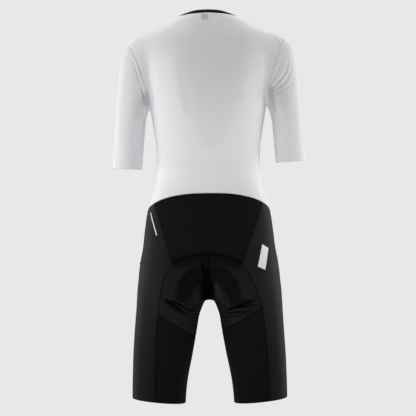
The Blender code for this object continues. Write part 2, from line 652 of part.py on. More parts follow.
def drawn_in(grid, normals, amount):
    """The grid with its whole edge moved in by this much, along the cloth."""
    rows, cols = grid.shape[:2]
    loop = (
        [(0, c) for c in range(cols)] + [(r, cols - 1) for r in range(1, rows)]
        + [(rows - 1, c) for c in range(cols - 2, -1, -1)] + [(r, 0) for r in range(rows - 2, 0, -1)]
    )
    at = tuple(np.array(loop).T)
    ring, up = grid[at], normals[at]
    along = unit(np.roll(ring, -1, axis=0) - ring)
    inward_next = unit(np.cross(along, up))
    inward_last = np.roll(inward_next, 1, axis=0)
    within = grid[np.clip(at[0], 1, rows - 2), np.clip(at[1], 1, cols - 2)]
    if ((within - ring) * (inward_next + inward_last)).sum() < 0:
        inward_next, inward_last = -inward_next, -inward_last
    both = (inward_next * inward_last).sum(axis=1, keepdims=True)
    moved = grid.copy()
    moved[at] = ring + amount * (inward_next + inward_last) / np.maximum(1.0 + both, 0.3)
    return moved


def walled(figure, grid, wall, gap=SEAM_GAP / 2, base=0.0):
    """The thin closed body that a cut piece makes: vertices and triangles."""
    normals = figure.normals(grid)
    inner = drawn_in(grid, normals, gap) + (base + relief(grid))[..., None] * normals
    outer = inner + wall * normals
    return closed(figure, inner, outer, normals)


def closed(figure, inner, outer, normals):
    """The thin closed body between two grids."""
    grid = inner
    rows, cols = grid.shape[:2]
    index = np.arange(rows * cols).reshape(rows, cols)
    a, b, c, d = index[:-1, :-1], index[:-1, 1:], index[1:, 1:], index[1:, :-1]
    flat = inner.reshape(-1, 3)
    first = np.abs(figure.distance((flat[a] + flat[c]).reshape(-1, 3) / 2))
    second = np.abs(figure.distance((flat[b] + flat[d]).reshape(-1, 3) / 2))
    a, b, c, d = (corner.ravel() for corner in (a, b, c, d))
    keep = (first <= second)[:, None]
    one = np.where(keep, np.stack((a, b, c), 1), np.stack((a, b, d), 1))
    two = np.where(keep, np.stack((a, c, d), 1), np.stack((b, c, d), 1))
    sheet = np.concatenate((one, two))
    corner = flat[sheet[0]]
    facing = np.cross(corner[1] - corner[0], corner[2] - corner[0])
    if facing @ normals.reshape(-1, 3)[sheet[0, 0]] < 0:
        sheet = sheet[:, ::-1]
    half = rows * cols
    edges = np.concatenate((sheet[:, [0, 1]], sheet[:, [1, 2]], sheet[:, [2, 0]]))
    known = {tuple(edge) for edge in edges.tolist()}
    rim = np.array([edge for edge in sorted(known) if (edge[1], edge[0]) not in known])
    p, q = rim.T
    order = flat @ np.array((0.731, 0.413, 0.917))
    rising = (order[p] < order[q])[:, None]
    side_one = np.where(rising, np.stack((p, q, q + half), 1), np.stack((p, q, p + half), 1))
    side_two = np.where(rising, np.stack((p, q + half, p + half), 1), np.stack((q, q + half, p + half), 1))
    faces = np.concatenate((sheet[:, ::-1], sheet + half, side_one, side_two))
    return np.concatenate((flat, outer.reshape(-1, 3))), faces


def add_mesh(name, points, faces):
    mesh = bpy.data.meshes.new(name)
    mesh.from_pydata((points * METRE).tolist(), [], faces.tolist())
    mesh.update()
    item = bpy.data.objects.new(name, mesh)
    bpy.context.scene.collection.objects.link(item)
    return item


def cut_pieces(figure, seams):
    """Each cut piece's grid and wall, by name."""
    left, right, centre = seams.left, seams.right, seams.centre
    pieces = {}
    top = joined(
        left["shoulder"][::-1], left["neck_back"][::-1], right["neck_back"], right["shoulder"],
    )
    bottom = joined(
        left["waist_side"][::-1], left["waist_yoke"][::-1], right["waist_yoke"], right["waist_side"],
    )
    flanks = [joined(side["armhole_back"], side["side"]) for side in (left, right)]
    pieces["back_panel"] = coons(top, bottom, *flanks), TOP_WALL
    for side in SIDES:
        curves, name = seams.of(side), SIDES[side]
        top = joined(curves["shoulder"][::-1], curves["neck_front"])
        flank = joined(curves["armhole_front"], curves["side"])
        pieces[f"front_{name}"] = coons(top, curves["waist_top_front"], flank, curves["zip"]), TOP_WALL
        ring = joined(curves["armhole_back"][::-1], curves["armhole_front"])
        under = curves["underarm"]
        pieces[f"sleeve_{name}"] = coons(ring, curves["cuff"], under, under), TOP_WALL
        rear = joined(curves["arch"], curves["rear_top"])
        pieces[f"seat_{name}"] = (
            coons(rear, curves["inner_top"], centre["crotch"], curves["thigh"]), SHORTS_WALL,
        )
        pieces[f"thigh_{name}"] = (
            coons(curves["thigh"], curves["hem_inner"], curves["rear_low"], curves["inner_low"]), SHORTS_WALL,
        )
        top = joined(curves["waist_side"], curves["waist_front"])
        rear = joined(curves["yoke_side"], curves["rear_top"], curves["rear_low"])
        front = joined(centre["front_rise"], curves["inner_top"], curves["inner_low"])
        pieces[f"outer_{name}"] = coons(top, curves["hem_outer"], rear, front), SHORTS_WALL
    top = joined(left["waist_yoke"][::-1], right["waist_yoke"])
    bottom = joined(left["arch"][::-1], right["arch"])
    pieces["yoke"] = coons(top, bottom, left["yoke_side"], right["yoke_side"]), SHORTS_WALL
    pieces = {name: (laid(figure, grid), wall) for name, (grid, wall) in pieces.items()}
    rows = []
    for row in range(COUNT["collar"] * seams.fineness, -1, -1):
        tail = f"_{row}" if row else ""
        halves = [joined(side["neck_back" + tail], side["neck_front" + tail]) for side in (left, right)]
        rows.append(joined(halves[0][::-1], halves[1]))
    collar = np.array(rows)
    pieces["collar"] = collar, COLLAR_WALL
    edges = [joined(collar[:, end], side["zip"]) for end, side in ((0, left), (-1, right))]
    pieces["zip_chain"] = np.stack(edges, axis=1), CHAIN_WALL
    return pieces


def ribbon(figure, path, half, steps, across):
    """A grid for a strip of cloth that follows a path of points on the figure."""
    line = figure.settled(respaced(np.asarray(path, float), steps), 6, arms=False)
    line = figure.settled(respaced(line, steps), 2, arms=False)
    along = unit(np.gradient(line, axis=0))
    sideways = unit(np.cross(figure.normals(line), along))
    spread = np.linspace(-half, half, across + 1)
    return line[:, None] + spread[None, :, None] * sideways[:, None]


def resting(figure, grid, ground, gap, wall):
    """The thin closed body of a grid laid over a piece that is already made."""
    points, faces = ground
    tree = BVHTree.FromPolygons([Vector(p) for p in points], [tuple(f) for f in faces.tolist()])
    normals = figure.normals(grid)
    inner = grid.copy()
    for at in np.ndindex(grid.shape[:2]):
        up = Vector(normals[at])
        hit = tree.ray_cast(Vector(grid[at]) + up * 15.0, -up)[0]
        inner[at] = np.array(hit) + gap * normals[at]
    return closed(figure, inner, inner + wall * normals, normals)


def box(low, high):
    """A box's vertices and faces."""
    points = [(x, y, z) for x in (low[0], high[0]) for y in (low[1], high[1]) for z in (low[2], high[2])]
    return points, [(0, 1, 3, 2), (4, 6, 7, 5), (0, 4, 5, 1), (2, 3, 7, 6), (0, 2, 6, 4), (1, 5, 7, 3)]


def rod(radius, half, middle, sides=20):
    """A rod along x: vertices and faces."""
    turns = [2 * math.pi * k / sides for k in range(sides)]
    points = [
        (x, middle[0] + radius * math.cos(turn), middle[1] + radius * math.sin(turn))
        for x in (-half, half) for turn in turns
    ]
    ring = [(k, (k + 1) % sides, sides + (k + 1) % sides, sides + k) for k in range(sides)]
    return points, ring + [tuple(range(sides))[::-1], tuple(range(sides, 2 * sides))]


def add_solid(name, shapes, cuts, place):
    """One solid from shapes that overlap, less the cuts. The shapes stay in the scene, hidden."""
    items = []
    for number, (points, faces) in enumerate(shapes + cuts):
        mesh = bpy.data.meshes.new(f"{name}_{number}")
        mesh.from_pydata(points, [], faces)
        work = bmesh.new()
        work.from_mesh(mesh)
        bmesh.ops.recalc_face_normals(work, faces=work.faces)
        work.to_mesh(mesh)
        work.free()
        item = bpy.data.objects.new(name if number == 0 else f"{name}_{number}", mesh)
        item.matrix_world = place
        bpy.context.scene.collection.objects.link(item)
        items.append(item)
    for number, item in enumerate(items[1:], 1):
        item.hide_render = True
        join = items[0].modifiers.new(f"join_{number}", "BOOLEAN")
        join.operation = "UNION" if number < len(shapes) else "DIFFERENCE"
        join.solver = "EXACT"
        join.object = item
    return items[0]


def zip_frame(chain):
    """The slider's place: across, up the zip, away from the cloth, from the top of the chain."""
    line = respaced(chain[:5].mean(axis=1), 60)
    top = line[0]
    up = unit(top - line[np.argmin(np.abs(np.linalg.norm(line - top, axis=1) - SLIDER_LENGTH))])
    across = np.array((1.0, 0.0, 0.0))
    away = np.cross(across, up)
    if away[1] > 0:
        across, away = -across, -away
    frame = Matrix.Identity(4)
    for column, axis in enumerate((across, up, away)):
        for row in range(3):
            frame[row][column] = axis[row]
        frame[column][3] = top[column]
    return Matrix.Scale(METRE, 4) @ frame


def clear_scene():
    for item in list(bpy.data.objects):
        bpy.data.objects.remove(item, do_unlink=True)


def main():
    clear_scene()
    figure = Figure()
    seams = Seams(figure)
    pieces = cut_pieces(figure, seams)
    made = {name: walled(figure, grid, wall) for name, (grid, wall) in pieces.items()}
    for name, mesh in made.items():
        add_mesh(name, *mesh)

    left, right, top, bottom = LABEL_SPAN
    across, down = np.meshgrid(np.linspace(left, right, 6), np.linspace(top, bottom, 6))
    label = seams.from_behind(across.ravel(), down.ravel()).reshape(6, 6, 3)
    stripe = ribbon(figure, STRIPE, STRIPE_HALF, 18, 2)
    tab = ribbon(figure, TAB, TAB_HALF, 16, 7)
    welt = ribbon(figure, WELT, WELT_HALF, 40, 2)
    for name, grid, ground, wall in (
        ("neck_label", label, "back_panel", TRIM_WALL),
        ("reflective_stripe", stripe, "outer_left", TRIM_WALL),
        ("reflective_tab", tab, "outer_right", TRIM_WALL), ("pocket_welt", welt, "outer_left", WELT_WALL),
    ):
        add_mesh(name, *resting(figure, grid, made[ground], TRIM_GAP, wall))

    place = zip_frame(pieces["zip_chain"][0])
    slider = [box(*corners) for corners in SLIDER_BOXES] + [rod(PIN_RADIUS, 2.7, PIN_AT)]
    add_solid("zip_slider", slider, [], place)
    hinge = Matrix.Translation((0.0, *PIN_AT)) @ Matrix.Rotation(math.radians(-PULL_LEAN), 4, "X")
    pull = [rod(BARREL_RADIUS, BARREL_HALF, (0.0, 0.0))] + [box(*corners) for corners in PULL_BOXES]
    add_solid("zip_pull", pull, [rod(BORE_RADIUS, 4.0, (0.0, 0.0))], place @ hinge)


if __name__ == "__main__":
    main()
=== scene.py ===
"""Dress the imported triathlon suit: knitted panels with creases, seams, zip and trims, then a plain studio.

Frame: x to the wearer's left, y to the back, z up, with the origin at the base of the neck. Cloth is worked
out in millimetres on one smooth figure and becomes metres as it goes into a mesh.
"""

import logging
import math
from collections.abc import Callable, Iterable, Sequence
from dataclasses import dataclass, field
from enum import Enum

import bmesh
import bpy
import numpy as np
from mathutils import Matrix, Vector


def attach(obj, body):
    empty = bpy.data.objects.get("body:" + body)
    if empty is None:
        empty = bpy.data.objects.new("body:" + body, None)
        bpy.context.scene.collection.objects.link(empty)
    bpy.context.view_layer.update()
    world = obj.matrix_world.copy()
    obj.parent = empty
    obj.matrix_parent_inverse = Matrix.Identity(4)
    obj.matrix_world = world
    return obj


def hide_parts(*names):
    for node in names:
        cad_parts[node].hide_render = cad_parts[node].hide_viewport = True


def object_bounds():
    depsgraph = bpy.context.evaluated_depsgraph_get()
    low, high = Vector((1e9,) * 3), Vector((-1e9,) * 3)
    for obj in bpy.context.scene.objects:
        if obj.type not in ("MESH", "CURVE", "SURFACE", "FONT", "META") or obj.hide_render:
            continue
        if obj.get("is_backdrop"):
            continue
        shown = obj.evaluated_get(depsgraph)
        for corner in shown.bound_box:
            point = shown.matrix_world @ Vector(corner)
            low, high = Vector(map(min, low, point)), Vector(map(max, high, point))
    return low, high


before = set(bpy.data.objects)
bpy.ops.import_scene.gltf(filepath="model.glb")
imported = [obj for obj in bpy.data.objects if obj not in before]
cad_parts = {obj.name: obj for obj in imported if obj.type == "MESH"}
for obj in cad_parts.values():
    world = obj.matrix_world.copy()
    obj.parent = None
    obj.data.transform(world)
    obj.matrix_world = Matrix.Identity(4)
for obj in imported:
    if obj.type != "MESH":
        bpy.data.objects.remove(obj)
CAD_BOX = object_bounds()

LOG = logging.getLogger("suit")
METRE = 0.001
SUIT = "suit"

Table = Sequence[tuple[float, ...]]
Array = np.ndarray
Part = Callable[[Array], Array]


class Side(Enum):
    """A side of the wearer; its value is the sign of x there."""

    LEFT = 1
    RIGHT = -1

    @property
    def word(self) -> str:
        """The side's name as piece names use it."""
        return self.name.lower()

    @property
    def column(self) -> int:
        """The column of a (height, left, right) table that holds this side."""
        return 1 if self is Side.LEFT else 2


def unit(vectors: Array) -> Array:
    """Vectors scaled to length 1: v / |v|."""
    return vectors / np.maximum(np.linalg.norm(vectors, axis=-1, keepdims=True), 1e-9)


def columns(*values: float | Array) -> Array:
    """Points from their coordinates, each a number or an array."""
    return np.stack(np.broadcast_arrays(*values), axis=-1).astype(float)


def smoothstep(low: float, high: float, value: Array) -> Array:
    """0 below low, 1 above high, and 3t^2 - 2t^3 between, with t the share of the way."""
    share = np.clip((value - low) / (high - low), 0.0, 1.0)
    return share * share * (3.0 - 2.0 * share)


def arc_lengths(curve: Array) -> Array:
    """How far along a curve each of its points lies, from 0 at its start."""
    return np.concatenate(([0.0], np.cumsum(np.linalg.norm(np.diff(curve, axis=0), axis=1))))


def respaced(curve: Array, count: int) -> Array:
    """count + 1 points evenly spaced along a curve."""
    along = arc_lengths(curve)
    wanted = np.linspace(0.0, along[-1], count + 1)
    return np.stack([np.interp(wanted, along, curve[:, axis]) for axis in range(3)], axis=1)


def joined(*curves: Array) -> Array:
    """Curves that follow one another, as one."""
    return np.concatenate([curves[0]] + [curve[1:] for curve in curves[1:]])


def outwards(side: Side, turns: Array) -> Array:
    """Level unit vectors, at turns in degrees from straight back that grow towards a side."""
    way = np.radians(turns)
    return columns(side.value * np.sin(way), np.cos(way), 0.0)


def halved(near: Array, far: Array, rounds: int, beyond: Part) -> Array:
    """Where a condition starts to hold between two places, found by halving the span.

    Args:
        near: A place for each point where it doesn't hold.
        far: A place for each point where it does.
        rounds: How often the span is halved.
        beyond: Tells for each point whether it holds at a place.

    Returns:
        The middle of each point's last span.
    """
    for _ in range(rounds):
        middle = (near + far) / 2
        out = beyond(middle)
        near, far = np.where(out, near, middle), np.where(out, middle, far)
    return (near + far) / 2


class Profile:
    """A size that eases from row to row of a short table.

    The value runs straight between rows and is then blurred by a Gaussian whose deviation is ease.
    """

    def __init__(self, rows: Table, column: int = 1, ease: float = 8.0, margin: float = 40.0) -> None:
        """Sample the table once a unit.

        Args:
            rows: The table, a place and then one or more sizes in each row.
            column: Which size to read.
            ease: How far the corners between rows are rounded.
            margin: How far the first and last sizes go on past the table.
        """
        rows = sorted(rows)
        at = np.array([row[0] for row in rows], float)
        value = np.array([row[column] for row in rows], float)
        self.grid = np.arange(at[0] - margin, at[-1] + margin + 1.0, 1.0)
        reach = np.arange(-int(3 * ease), int(3 * ease) + 1)
        weight = np.exp(-0.5 * (reach / ease) ** 2)
        padded = np.pad(np.interp(self.grid, at, value), len(reach) // 2, mode="edge")
        self.table = np.convolve(padded, weight / weight.sum(), mode="valid")

    def __call__(self, at: float | Array) -> Array:
        """The size at a place."""
        return np.interp(at, self.grid, self.table)


def oval_reach(offset: Sequence[Array], half: Sequence[float | Array], squareness: float) -> Array:
    """Distance outside a super-oval, measured along the offset from its centre.

    With s = (sum |o/h|^q)^(1/q), the distance is |o| - |o|/s; it is below 0 inside.

    Args:
        offset: The offset from the centre, one array an axis.
        half: Half the oval's size along each axis.
        squareness: The power q; 2 is an ellipse, and more is squarer.

    Returns:
        The distance of each point.
    """
    share = sum(np.abs(o / h) ** squareness for o, h in zip(offset, half)) ** (1.0 / squareness)
    length = np.sqrt(sum(o * o for o in offset))
    return length - length / np.maximum(share, 1e-6)


def melted(first: Array, second: Array, blend: float | Array) -> Array:
    """The union of two shapes' distances: min(a, b) - h^3 k/6, with h = max(k - |a - b|, 0)/k."""
    near = np.maximum(blend - np.abs(first - second), 0.0) / blend
    return np.minimum(first, second) - near**3 * blend / 6.0


def evened(part: Part, points: Array) -> Array:
    """A part's distance divided by sqrt(1 + (dd/dz)^2), so that flat shoulders blend like walls."""
    step = np.array((0.0, 0.0, 1.5))
    slope = (part(points + step) - part(points - step)) / 3.0
    return part(points) / np.sqrt(1.0 + slope * slope)


@dataclass
class Figure:
    """The general figure that the suit is stretched over: a trunk, two legs and two arms that melt together.

    Every table runs by height, with one size in a row, but leg_rows and arm_rows have four: how far out and
    how far back the limb's middle lies, half its width and half its depth. Pairs are the left and right arm's.
    """

    cloth: float = 1.3
    trunk_squareness: float = 2.25
    trunk_width: Table = (
        (60, 58), (20, 58), (6, 59), (0, 63), (-5, 79.5), (-14, 94), (-24, 109.5), (-34, 127.5), (-44, 146),
        (-60, 162.5), (-80, 165), (-120, 158), (-180, 150), (-229, 145), (-260, 140), (-279, 137),
        (-299, 134), (-319, 131), (-334, 129.8), (-374, 129.2), (-399, 131.5), (-419, 134), (-439, 138),
        (-459, 145.5), (-484, 152.8), (-504, 156.3), (-549, 162), (-609, 166.5), (-640, 160), (-669, 148),
        (-700, 135), (-760, 125),
    )
    trunk_back: Table = (
        (60, 40), (15, 48), (0, 58), (-30, 72), (-60, 84), (-100, 95), (-150, 100), (-200, 98), (-250, 91),
        (-300, 80), (-350, 70), (-370, 67), (-400, 69), (-450, 77), (-500, 90), (-550, 103), (-600, 111),
        (-640, 100), (-669, 85), (-700, 55), (-760, 40),
    )
    trunk_front: Table = (
        (60, -28), (0, -32), (-30, -35), (-62, -41), (-100, -62), (-150, -88), (-200, -110), (-240, -113),
        (-280, -105), (-330, -95), (-380, -92), (-430, -97), (-480, -104), (-530, -107), (-580, -104),
        (-640, -96), (-700, -82), (-760, -70),
    )
    trunk_sway: Table = ((60, 0), (0, 0), (-20, -1), (-45, -1), (-90, 0), (-760, 0))
    trunk_floor: float = -707.0
    leg_rows: Table = (
        (-560, 72, 22, 78, 78), (-600, 78, 22, 84, 87), (-640, 85, 22, 87, 93), (-680, 92, 18, 87, 92),
        (-700, 95, 12, 85, 90), (-714, 97.5, 10, 84, 88), (-729, 101, 7, 81, 86), (-744, 104.5, 4, 78.9, 84),
        (-789, 109.6, -1, 77.2, 80.5), (-819, 113.4, -2, 75.5, 77), (-849, 117.1, -3, 73.7, 74),
        (-879, 120.8, -4, 70.9, 71), (-909, 124.2, -5, 68.7, 68), (-939, 126.2, -5, 67.2, 66),
        (-954, 126.9, -5, 66.8, 65.4), (-1020, 128.2, -5, 65.2, 64),
    )
    arm_rows: Table = (
        (-60, 157, 12, 56.5, 46), (-100, 161, 10, 54.3, 46), (-160, 174, 6, 49, 44), (-209, 182, 1, 45, 43),
        (-230, 188, -2, 41, 43), (-240, 190.6, -3, 39.2, 42.5), (-259, 194, -6, 37.8, 42),
        (-334, 200, -14, 37.2, 41), (-374, 203, -18, 36.8, 41), (-440, 208, -24, 36, 40),
    )
    leg_sway: Table = ((-560, 0), (-720, 0), (-780, 0.9), (-1020, 0.9))
    leg_top: float = -640.0
    leg_top_height: float = 75.0
    leg_squareness: float = 2.1
    arm_top: tuple[float, float] = (-114.0, -115.0)
    arm_top_height: float = 67.0
    arm_squareness: float = 2.0
    arm_end: float = -430.0
    arm_radius: float = 44.0
    arm_spread: tuple[float, float] = (0.0, 3.5)
    blend_legs: float = 12.0
    blend_hip: Table = ((-560, 46), (-686, 46), (-706, 14), (-760, 12))
    blend_floor: float = 26.0
    blend_arm: Table = ((-240, 12), (-190, 14), (-130, 26), (-90, 34), (-40, 34))

    def __post_init__(self) -> None:
        """Read the tables."""
        self.half_width = Profile(self.trunk_width, ease=5)
        self.back = Profile(self.trunk_back)
        self.front = Profile(self.trunk_front)
        self.sway = Profile(self.trunk_sway)
        self.leg_over = Profile(self.leg_sway)
        self.hip_melt = Profile(self.blend_hip, ease=5)
        self.leg_sizes = [Profile(self.leg_rows, column) for column in (1, 2, 3, 4)]
        self.arm_sizes = [Profile(self.arm_rows, column, ease=10) for column in (1, 2, 3, 4)]
        self.arm_melt = Profile(self.blend_arm)

    def spread(self, side: Side) -> float:
        """How much further out this arm hangs than the table says."""
        return self.arm_spread[side.column - 1]

    def trunk(self, points: Array) -> Array:
        """Distance to the trunk: a super-oval at each height, closed by a rounded floor."""
        x, y, z = points.T
        back, front = self.back(z), self.front(z)
        centre, half_depth = (back + front) / 2, (back - front) / 2
        half = self.half_width(z), half_depth
        oval = oval_reach((x - self.sway(z), y - centre), half, self.trunk_squareness)
        return -melted(-oval, z - self.trunk_floor, self.blend_floor)

    def leg(self, points: Array, side: Side) -> Array:
        """Distance to a leg: a super-oval at each height, closed by a dome."""
        x, y, z = points.T
        out, back, half_width, half_depth = (size(z) for size in self.leg_sizes)
        offset = (side.value * (x - self.leg_over(z)) - out, y - back, np.maximum(z - self.leg_top, 0.0))
        return oval_reach(offset, (half_width, half_depth, self.leg_top_height), self.leg_squareness)

    def arm(self, points: Array, side: Side) -> Array:
        """Distance to an arm: an ellipse at each height, closed by a dome above and cut off below."""
        x, y, z = points.T
        out, back, half_width, half_depth = (size(z) for size in self.arm_sizes)
        above = np.maximum(z - self.arm_top[side.column - 1], 0.0)
        offset = (side.value * x - out - self.spread(side), y - back, above)
        reach = oval_reach(offset, (half_width, half_depth, self.arm_top_height), self.arm_squareness)
        return np.maximum(reach, self.arm_end - z)

    def distance(self, points: Array, arms: bool = True) -> Array:
        """Distance to the cloth's inner face; limbs are only worked out where they can matter.

        Args:
            points: An (n, 3) array.
            arms: Whether the arms count.

        Returns:
            The distance of each point, below 0 inside.
        """
        found = evened(self.trunk, points)
        low = points[:, 2] < -480.0
        if low.any():
            part = points[low]
            left, right = (evened(lambda p, s=side: self.leg(p, s), part) for side in Side)
            found[low] = melted(found[low], melted(left, right, self.blend_legs), self.hip_melt(part[:, 2]))
        if arms:
            for side in Side:
                near = (side.value * points[:, 0] > 60.0) & (points[:, 2] > -445.0)
                if near.any():
                    part = points[near]
                    limb = evened(lambda p, s=side: self.arm(p, s), part)
                    found[near] = melted(found[near], limb, self.arm_melt(part[:, 2]))
        return found + self.cloth

    def arm_middle(self, heights: Array, side: Side) -> tuple[Array, Array]:
        """Where an arm's axis passes at some heights: x and y."""
        out, back = (size(heights) for size in self.arm_sizes[:2])
        return side.value * (out + self.spread(side)), back

    def unrolled(self, grid: Array, side: Side) -> Array:
        """Flat places on an arm: u = r phi round its axis, from the outside to the back, and v = z.

        Args:
            grid: A grid whose rows run once round the arm.
            side: Which arm.

        Returns:
            u and v of each point, with no jump along a row.
        """
        x, y = self.arm_middle(grid[..., 2], side)
        turn = np.unwrap(np.arctan2(grid[..., 1] - y, side.value * (grid[..., 0] - x)), axis=1)
        turn -= 2 * math.pi * np.round(turn[:, turn.shape[1] // 2] / (2 * math.pi))[:, None]
        return np.stack((self.arm_radius * turn, grid[..., 2]), axis=-1)

    def gradient(self, points: Array, arms: bool = True) -> Array:
        """Slope of the distance by central differences of half a millimetre."""
        step = 0.5
        slopes = [
            self.distance(points + step * axis, arms) - self.distance(points - step * axis, arms)
            for axis in np.eye(3)
        ]
        return np.stack(slopes, axis=1) / (2 * step)

    def normals(self, points: Array) -> Array:
        """Unit vectors away from the figure, in the shape of the points."""
        return unit(self.gradient(points.reshape(-1, 3))).reshape(points.shape)

    def axes(self, line: Array) -> tuple[Array, Array, Array]:
        """Unit vectors for a line on the figure: along it, across it and away from the figure."""
        along, up = unit(np.gradient(line, axis=0)), self.normals(line)
        return along, unit(np.cross(up, along)), up

    def settled(self, points: Array, rounds: int = 6, arms: bool = True) -> Array:
        """The points moved onto the figure by Newton's steps p - d grad d / |grad d|^2.

        Args:
            points: Points near the figure, in any shape that ends in 3.
            rounds: How many steps are taken.
            arms: Whether the arms count.

        Returns:
            The moved points, in the same shape.
        """
        shape = points.shape
        points = points.reshape(-1, 3).copy()
        for _ in range(rounds):
            slope = self.gradient(points, arms)
            steep = np.maximum((slope * slope).sum(axis=1), 0.25)
            move = np.clip(self.distance(points, arms) / steep, -12.0, 12.0)
            points -= slope * move[:, None]
        return points.reshape(shape)

    def pressed(self, points: Array, ways: Array) -> Array:
        """The points moved onto the figure along given ways, by one secant step."""
        shape = points.shape
        points, ways = points.reshape(-1, 3), ways.reshape(-1, 3)
        here = self.distance(points)
        slope = (self.distance(points + 0.5 * ways) - here) / 0.5
        slope = np.where(np.abs(slope) < 0.3, np.sign(slope + 1e-9) * 0.3, slope)
        return (points - ways * np.clip(here / slope, -12.0, 12.0)[:, None]).reshape(shape)

    def cast(self, inside: Array, outside: Array, arms: bool = True, rounds: int = 26) -> Array:
        """Where straight lines leave the figure, by halving.

        Args:
            inside: A point inside for each line.
            outside: A point outside for each line.
            arms: Whether the arms count.
            rounds: How often the span is halved.

        Returns:
            The point on the figure for each line.
        """
        ray = outside - inside
        start, end = np.zeros(len(inside)), np.ones(len(inside))
        share = halved(start, end, rounds, lambda s: self.distance(inside + ray * s[:, None], arms) > 0)
        return inside + ray * share[:, None]


@dataclass
class Pattern:
    """Where the maker's seams run. Places are in millimetres, turns in degrees from the centre back.

    Three columns are a height and how far out the seam lies there on the left and on the right, but the neck's
    are a turn, the seam's height and the collar's above it. waist_drop has a turn and how far the waist falls,
    yoke_arch the shares of the way out and down. shoulder_turn, sleeve_hem, yoke_corner and thigh_seam_top
    have a value for the left and one for the right. Each centre is a y and a z. Between the heights of
    armhole_crease the armhole passes into the crease between arm and trunk.
    """

    chain_half: float = 3.0
    neck_front_reach: float = 49.0
    neck_side_turn: float = 88.0
    neck_centre_y: float = 9.0
    neck: Table = (
        (0, 3.8, 7.6), (30, 3.3, 7.4), (50, 1.6, 6.4), (68, -1.8, 3.6), (85, -3.6, 2.6), (105, -8.0, 3.0),
        (125, -20.0, 3.4), (145, -37.0, 4.2), (165, -52.0, 5.0), (180, -58.0, 5.0),
    )
    armhole: Table = (
        (-50, 211, 192), (-60, 205.5, 188.4), (-72, 199.2, 181.5), (-84, 188.5, 175.8), (-96, 181.2, 171.5),
        (-108.7, 177, 167.3), (-128, 169, 161.4), (-137, 165.9, 159.2), (-157, 160.4, 155.6),
        (-184, 153.9, 151.4), (-198, 150.8, 150.2), (-230, 145.6, 150.2), (-262, 145.6, 150.2),
    )
    armhole_centre: tuple[float, float] = (4.0, -145.0)
    armhole_crease: tuple[float, float] = (-190.0, -222.0)
    armhole_scoop: float = 9.0
    shoulder_turn: tuple[float, float] = (37.5, 30.5)
    sleeve_hem: tuple[tuple[float, float], tuple[float, float]] = ((-378.0, 4.8), (-361.5, 5.5))
    waist_top: float = -442.9
    waist_centre_y: float = -8.0
    waist_drop: Table = (
        (0, 0), (20, 0.3), (36, 1.8), (50, 6.0), (61, 11.6), (66, 15.6), (71.5, 21.2), (75.6, 26.2),
        (85, 36.5), (95, 49), (110, 68), (130, 88), (150, 102), (180, 110),
    )
    side_seam_y: float = 6.0
    yoke_side: Table = (
        (-455, 136.4, 135.6), (-467.5, 133.3, 132.6), (-505, 121.5, 118.6), (-545, 109.3, 103.5),
        (-580, 98.8, 91.2), (-613, 89.5, 80.0), (-625, 86.0, 76.0),
    )
    rear_seam: Table = (
        (-600, 84, 72), (-613, 89.7, 79.6), (-625, 98.5, 87.4), (-637.7, 105.5, 95.8), (-652, 111.2, 104),
        (-665.8, 115.5, 110.2), (-682.7, 118.2, 116.2), (-697, 120.2, 120.8), (-706, 121.4, 123.4),
        (-722, 123.5, 128.4), (-738, 125, 131.2), (-758.5, 127.8, 133.8), (-772, 129.4, 135.4),
        (-815, 131.7, 139.3), (-860, 133.7, 142.2), (-895, 134.6, 144), (-953, 135.6, 144.4),
        (-980, 136, 144.4),
    )
    yoke_corner: tuple[float, float] = (-611.5, -615.3)
    yoke_corner_ease: float = 20.0
    yoke_arch_top: float = -592.0
    yoke_arch: Table = ((0, 0), (0.2, 0.03), (0.39, 0.10), (0.55, 0.24), (0.67, 0.42), (0.83, 0.69), (1, 1))
    thigh_seam_top: tuple[float, float] = (-738.5, -721.3)
    thigh_seam_drop: float = 60.0
    thigh_seam_turn: float = 104.0
    inner_seam_turn: float = -140.0
    gusset_end: float = -690.0
    rise_centre: tuple[float, float] = (-5.0, -600.0)
    leg_hem: float = -959.0
    leg_hem_tilt: float = 6.5
    count: dict[str, int] = field(default_factory=lambda: {
        "neck_back": 5, "neck_front": 6, "shoulder": 5, "armhole": 12, "side": 11, "underarm": 11,
        "waist_yoke": 6, "waist_side": 4, "waist_front": 11, "yoke_side": 14, "arch": 6, "rear_top": 5,
        "rear_low": 8, "crotch": 12, "front_rise": 8, "inner_top": 11, "inner_low": 8, "thigh": 12,
        "hem_outer": 15, "hem_inner": 12, "collar": 2,
    })


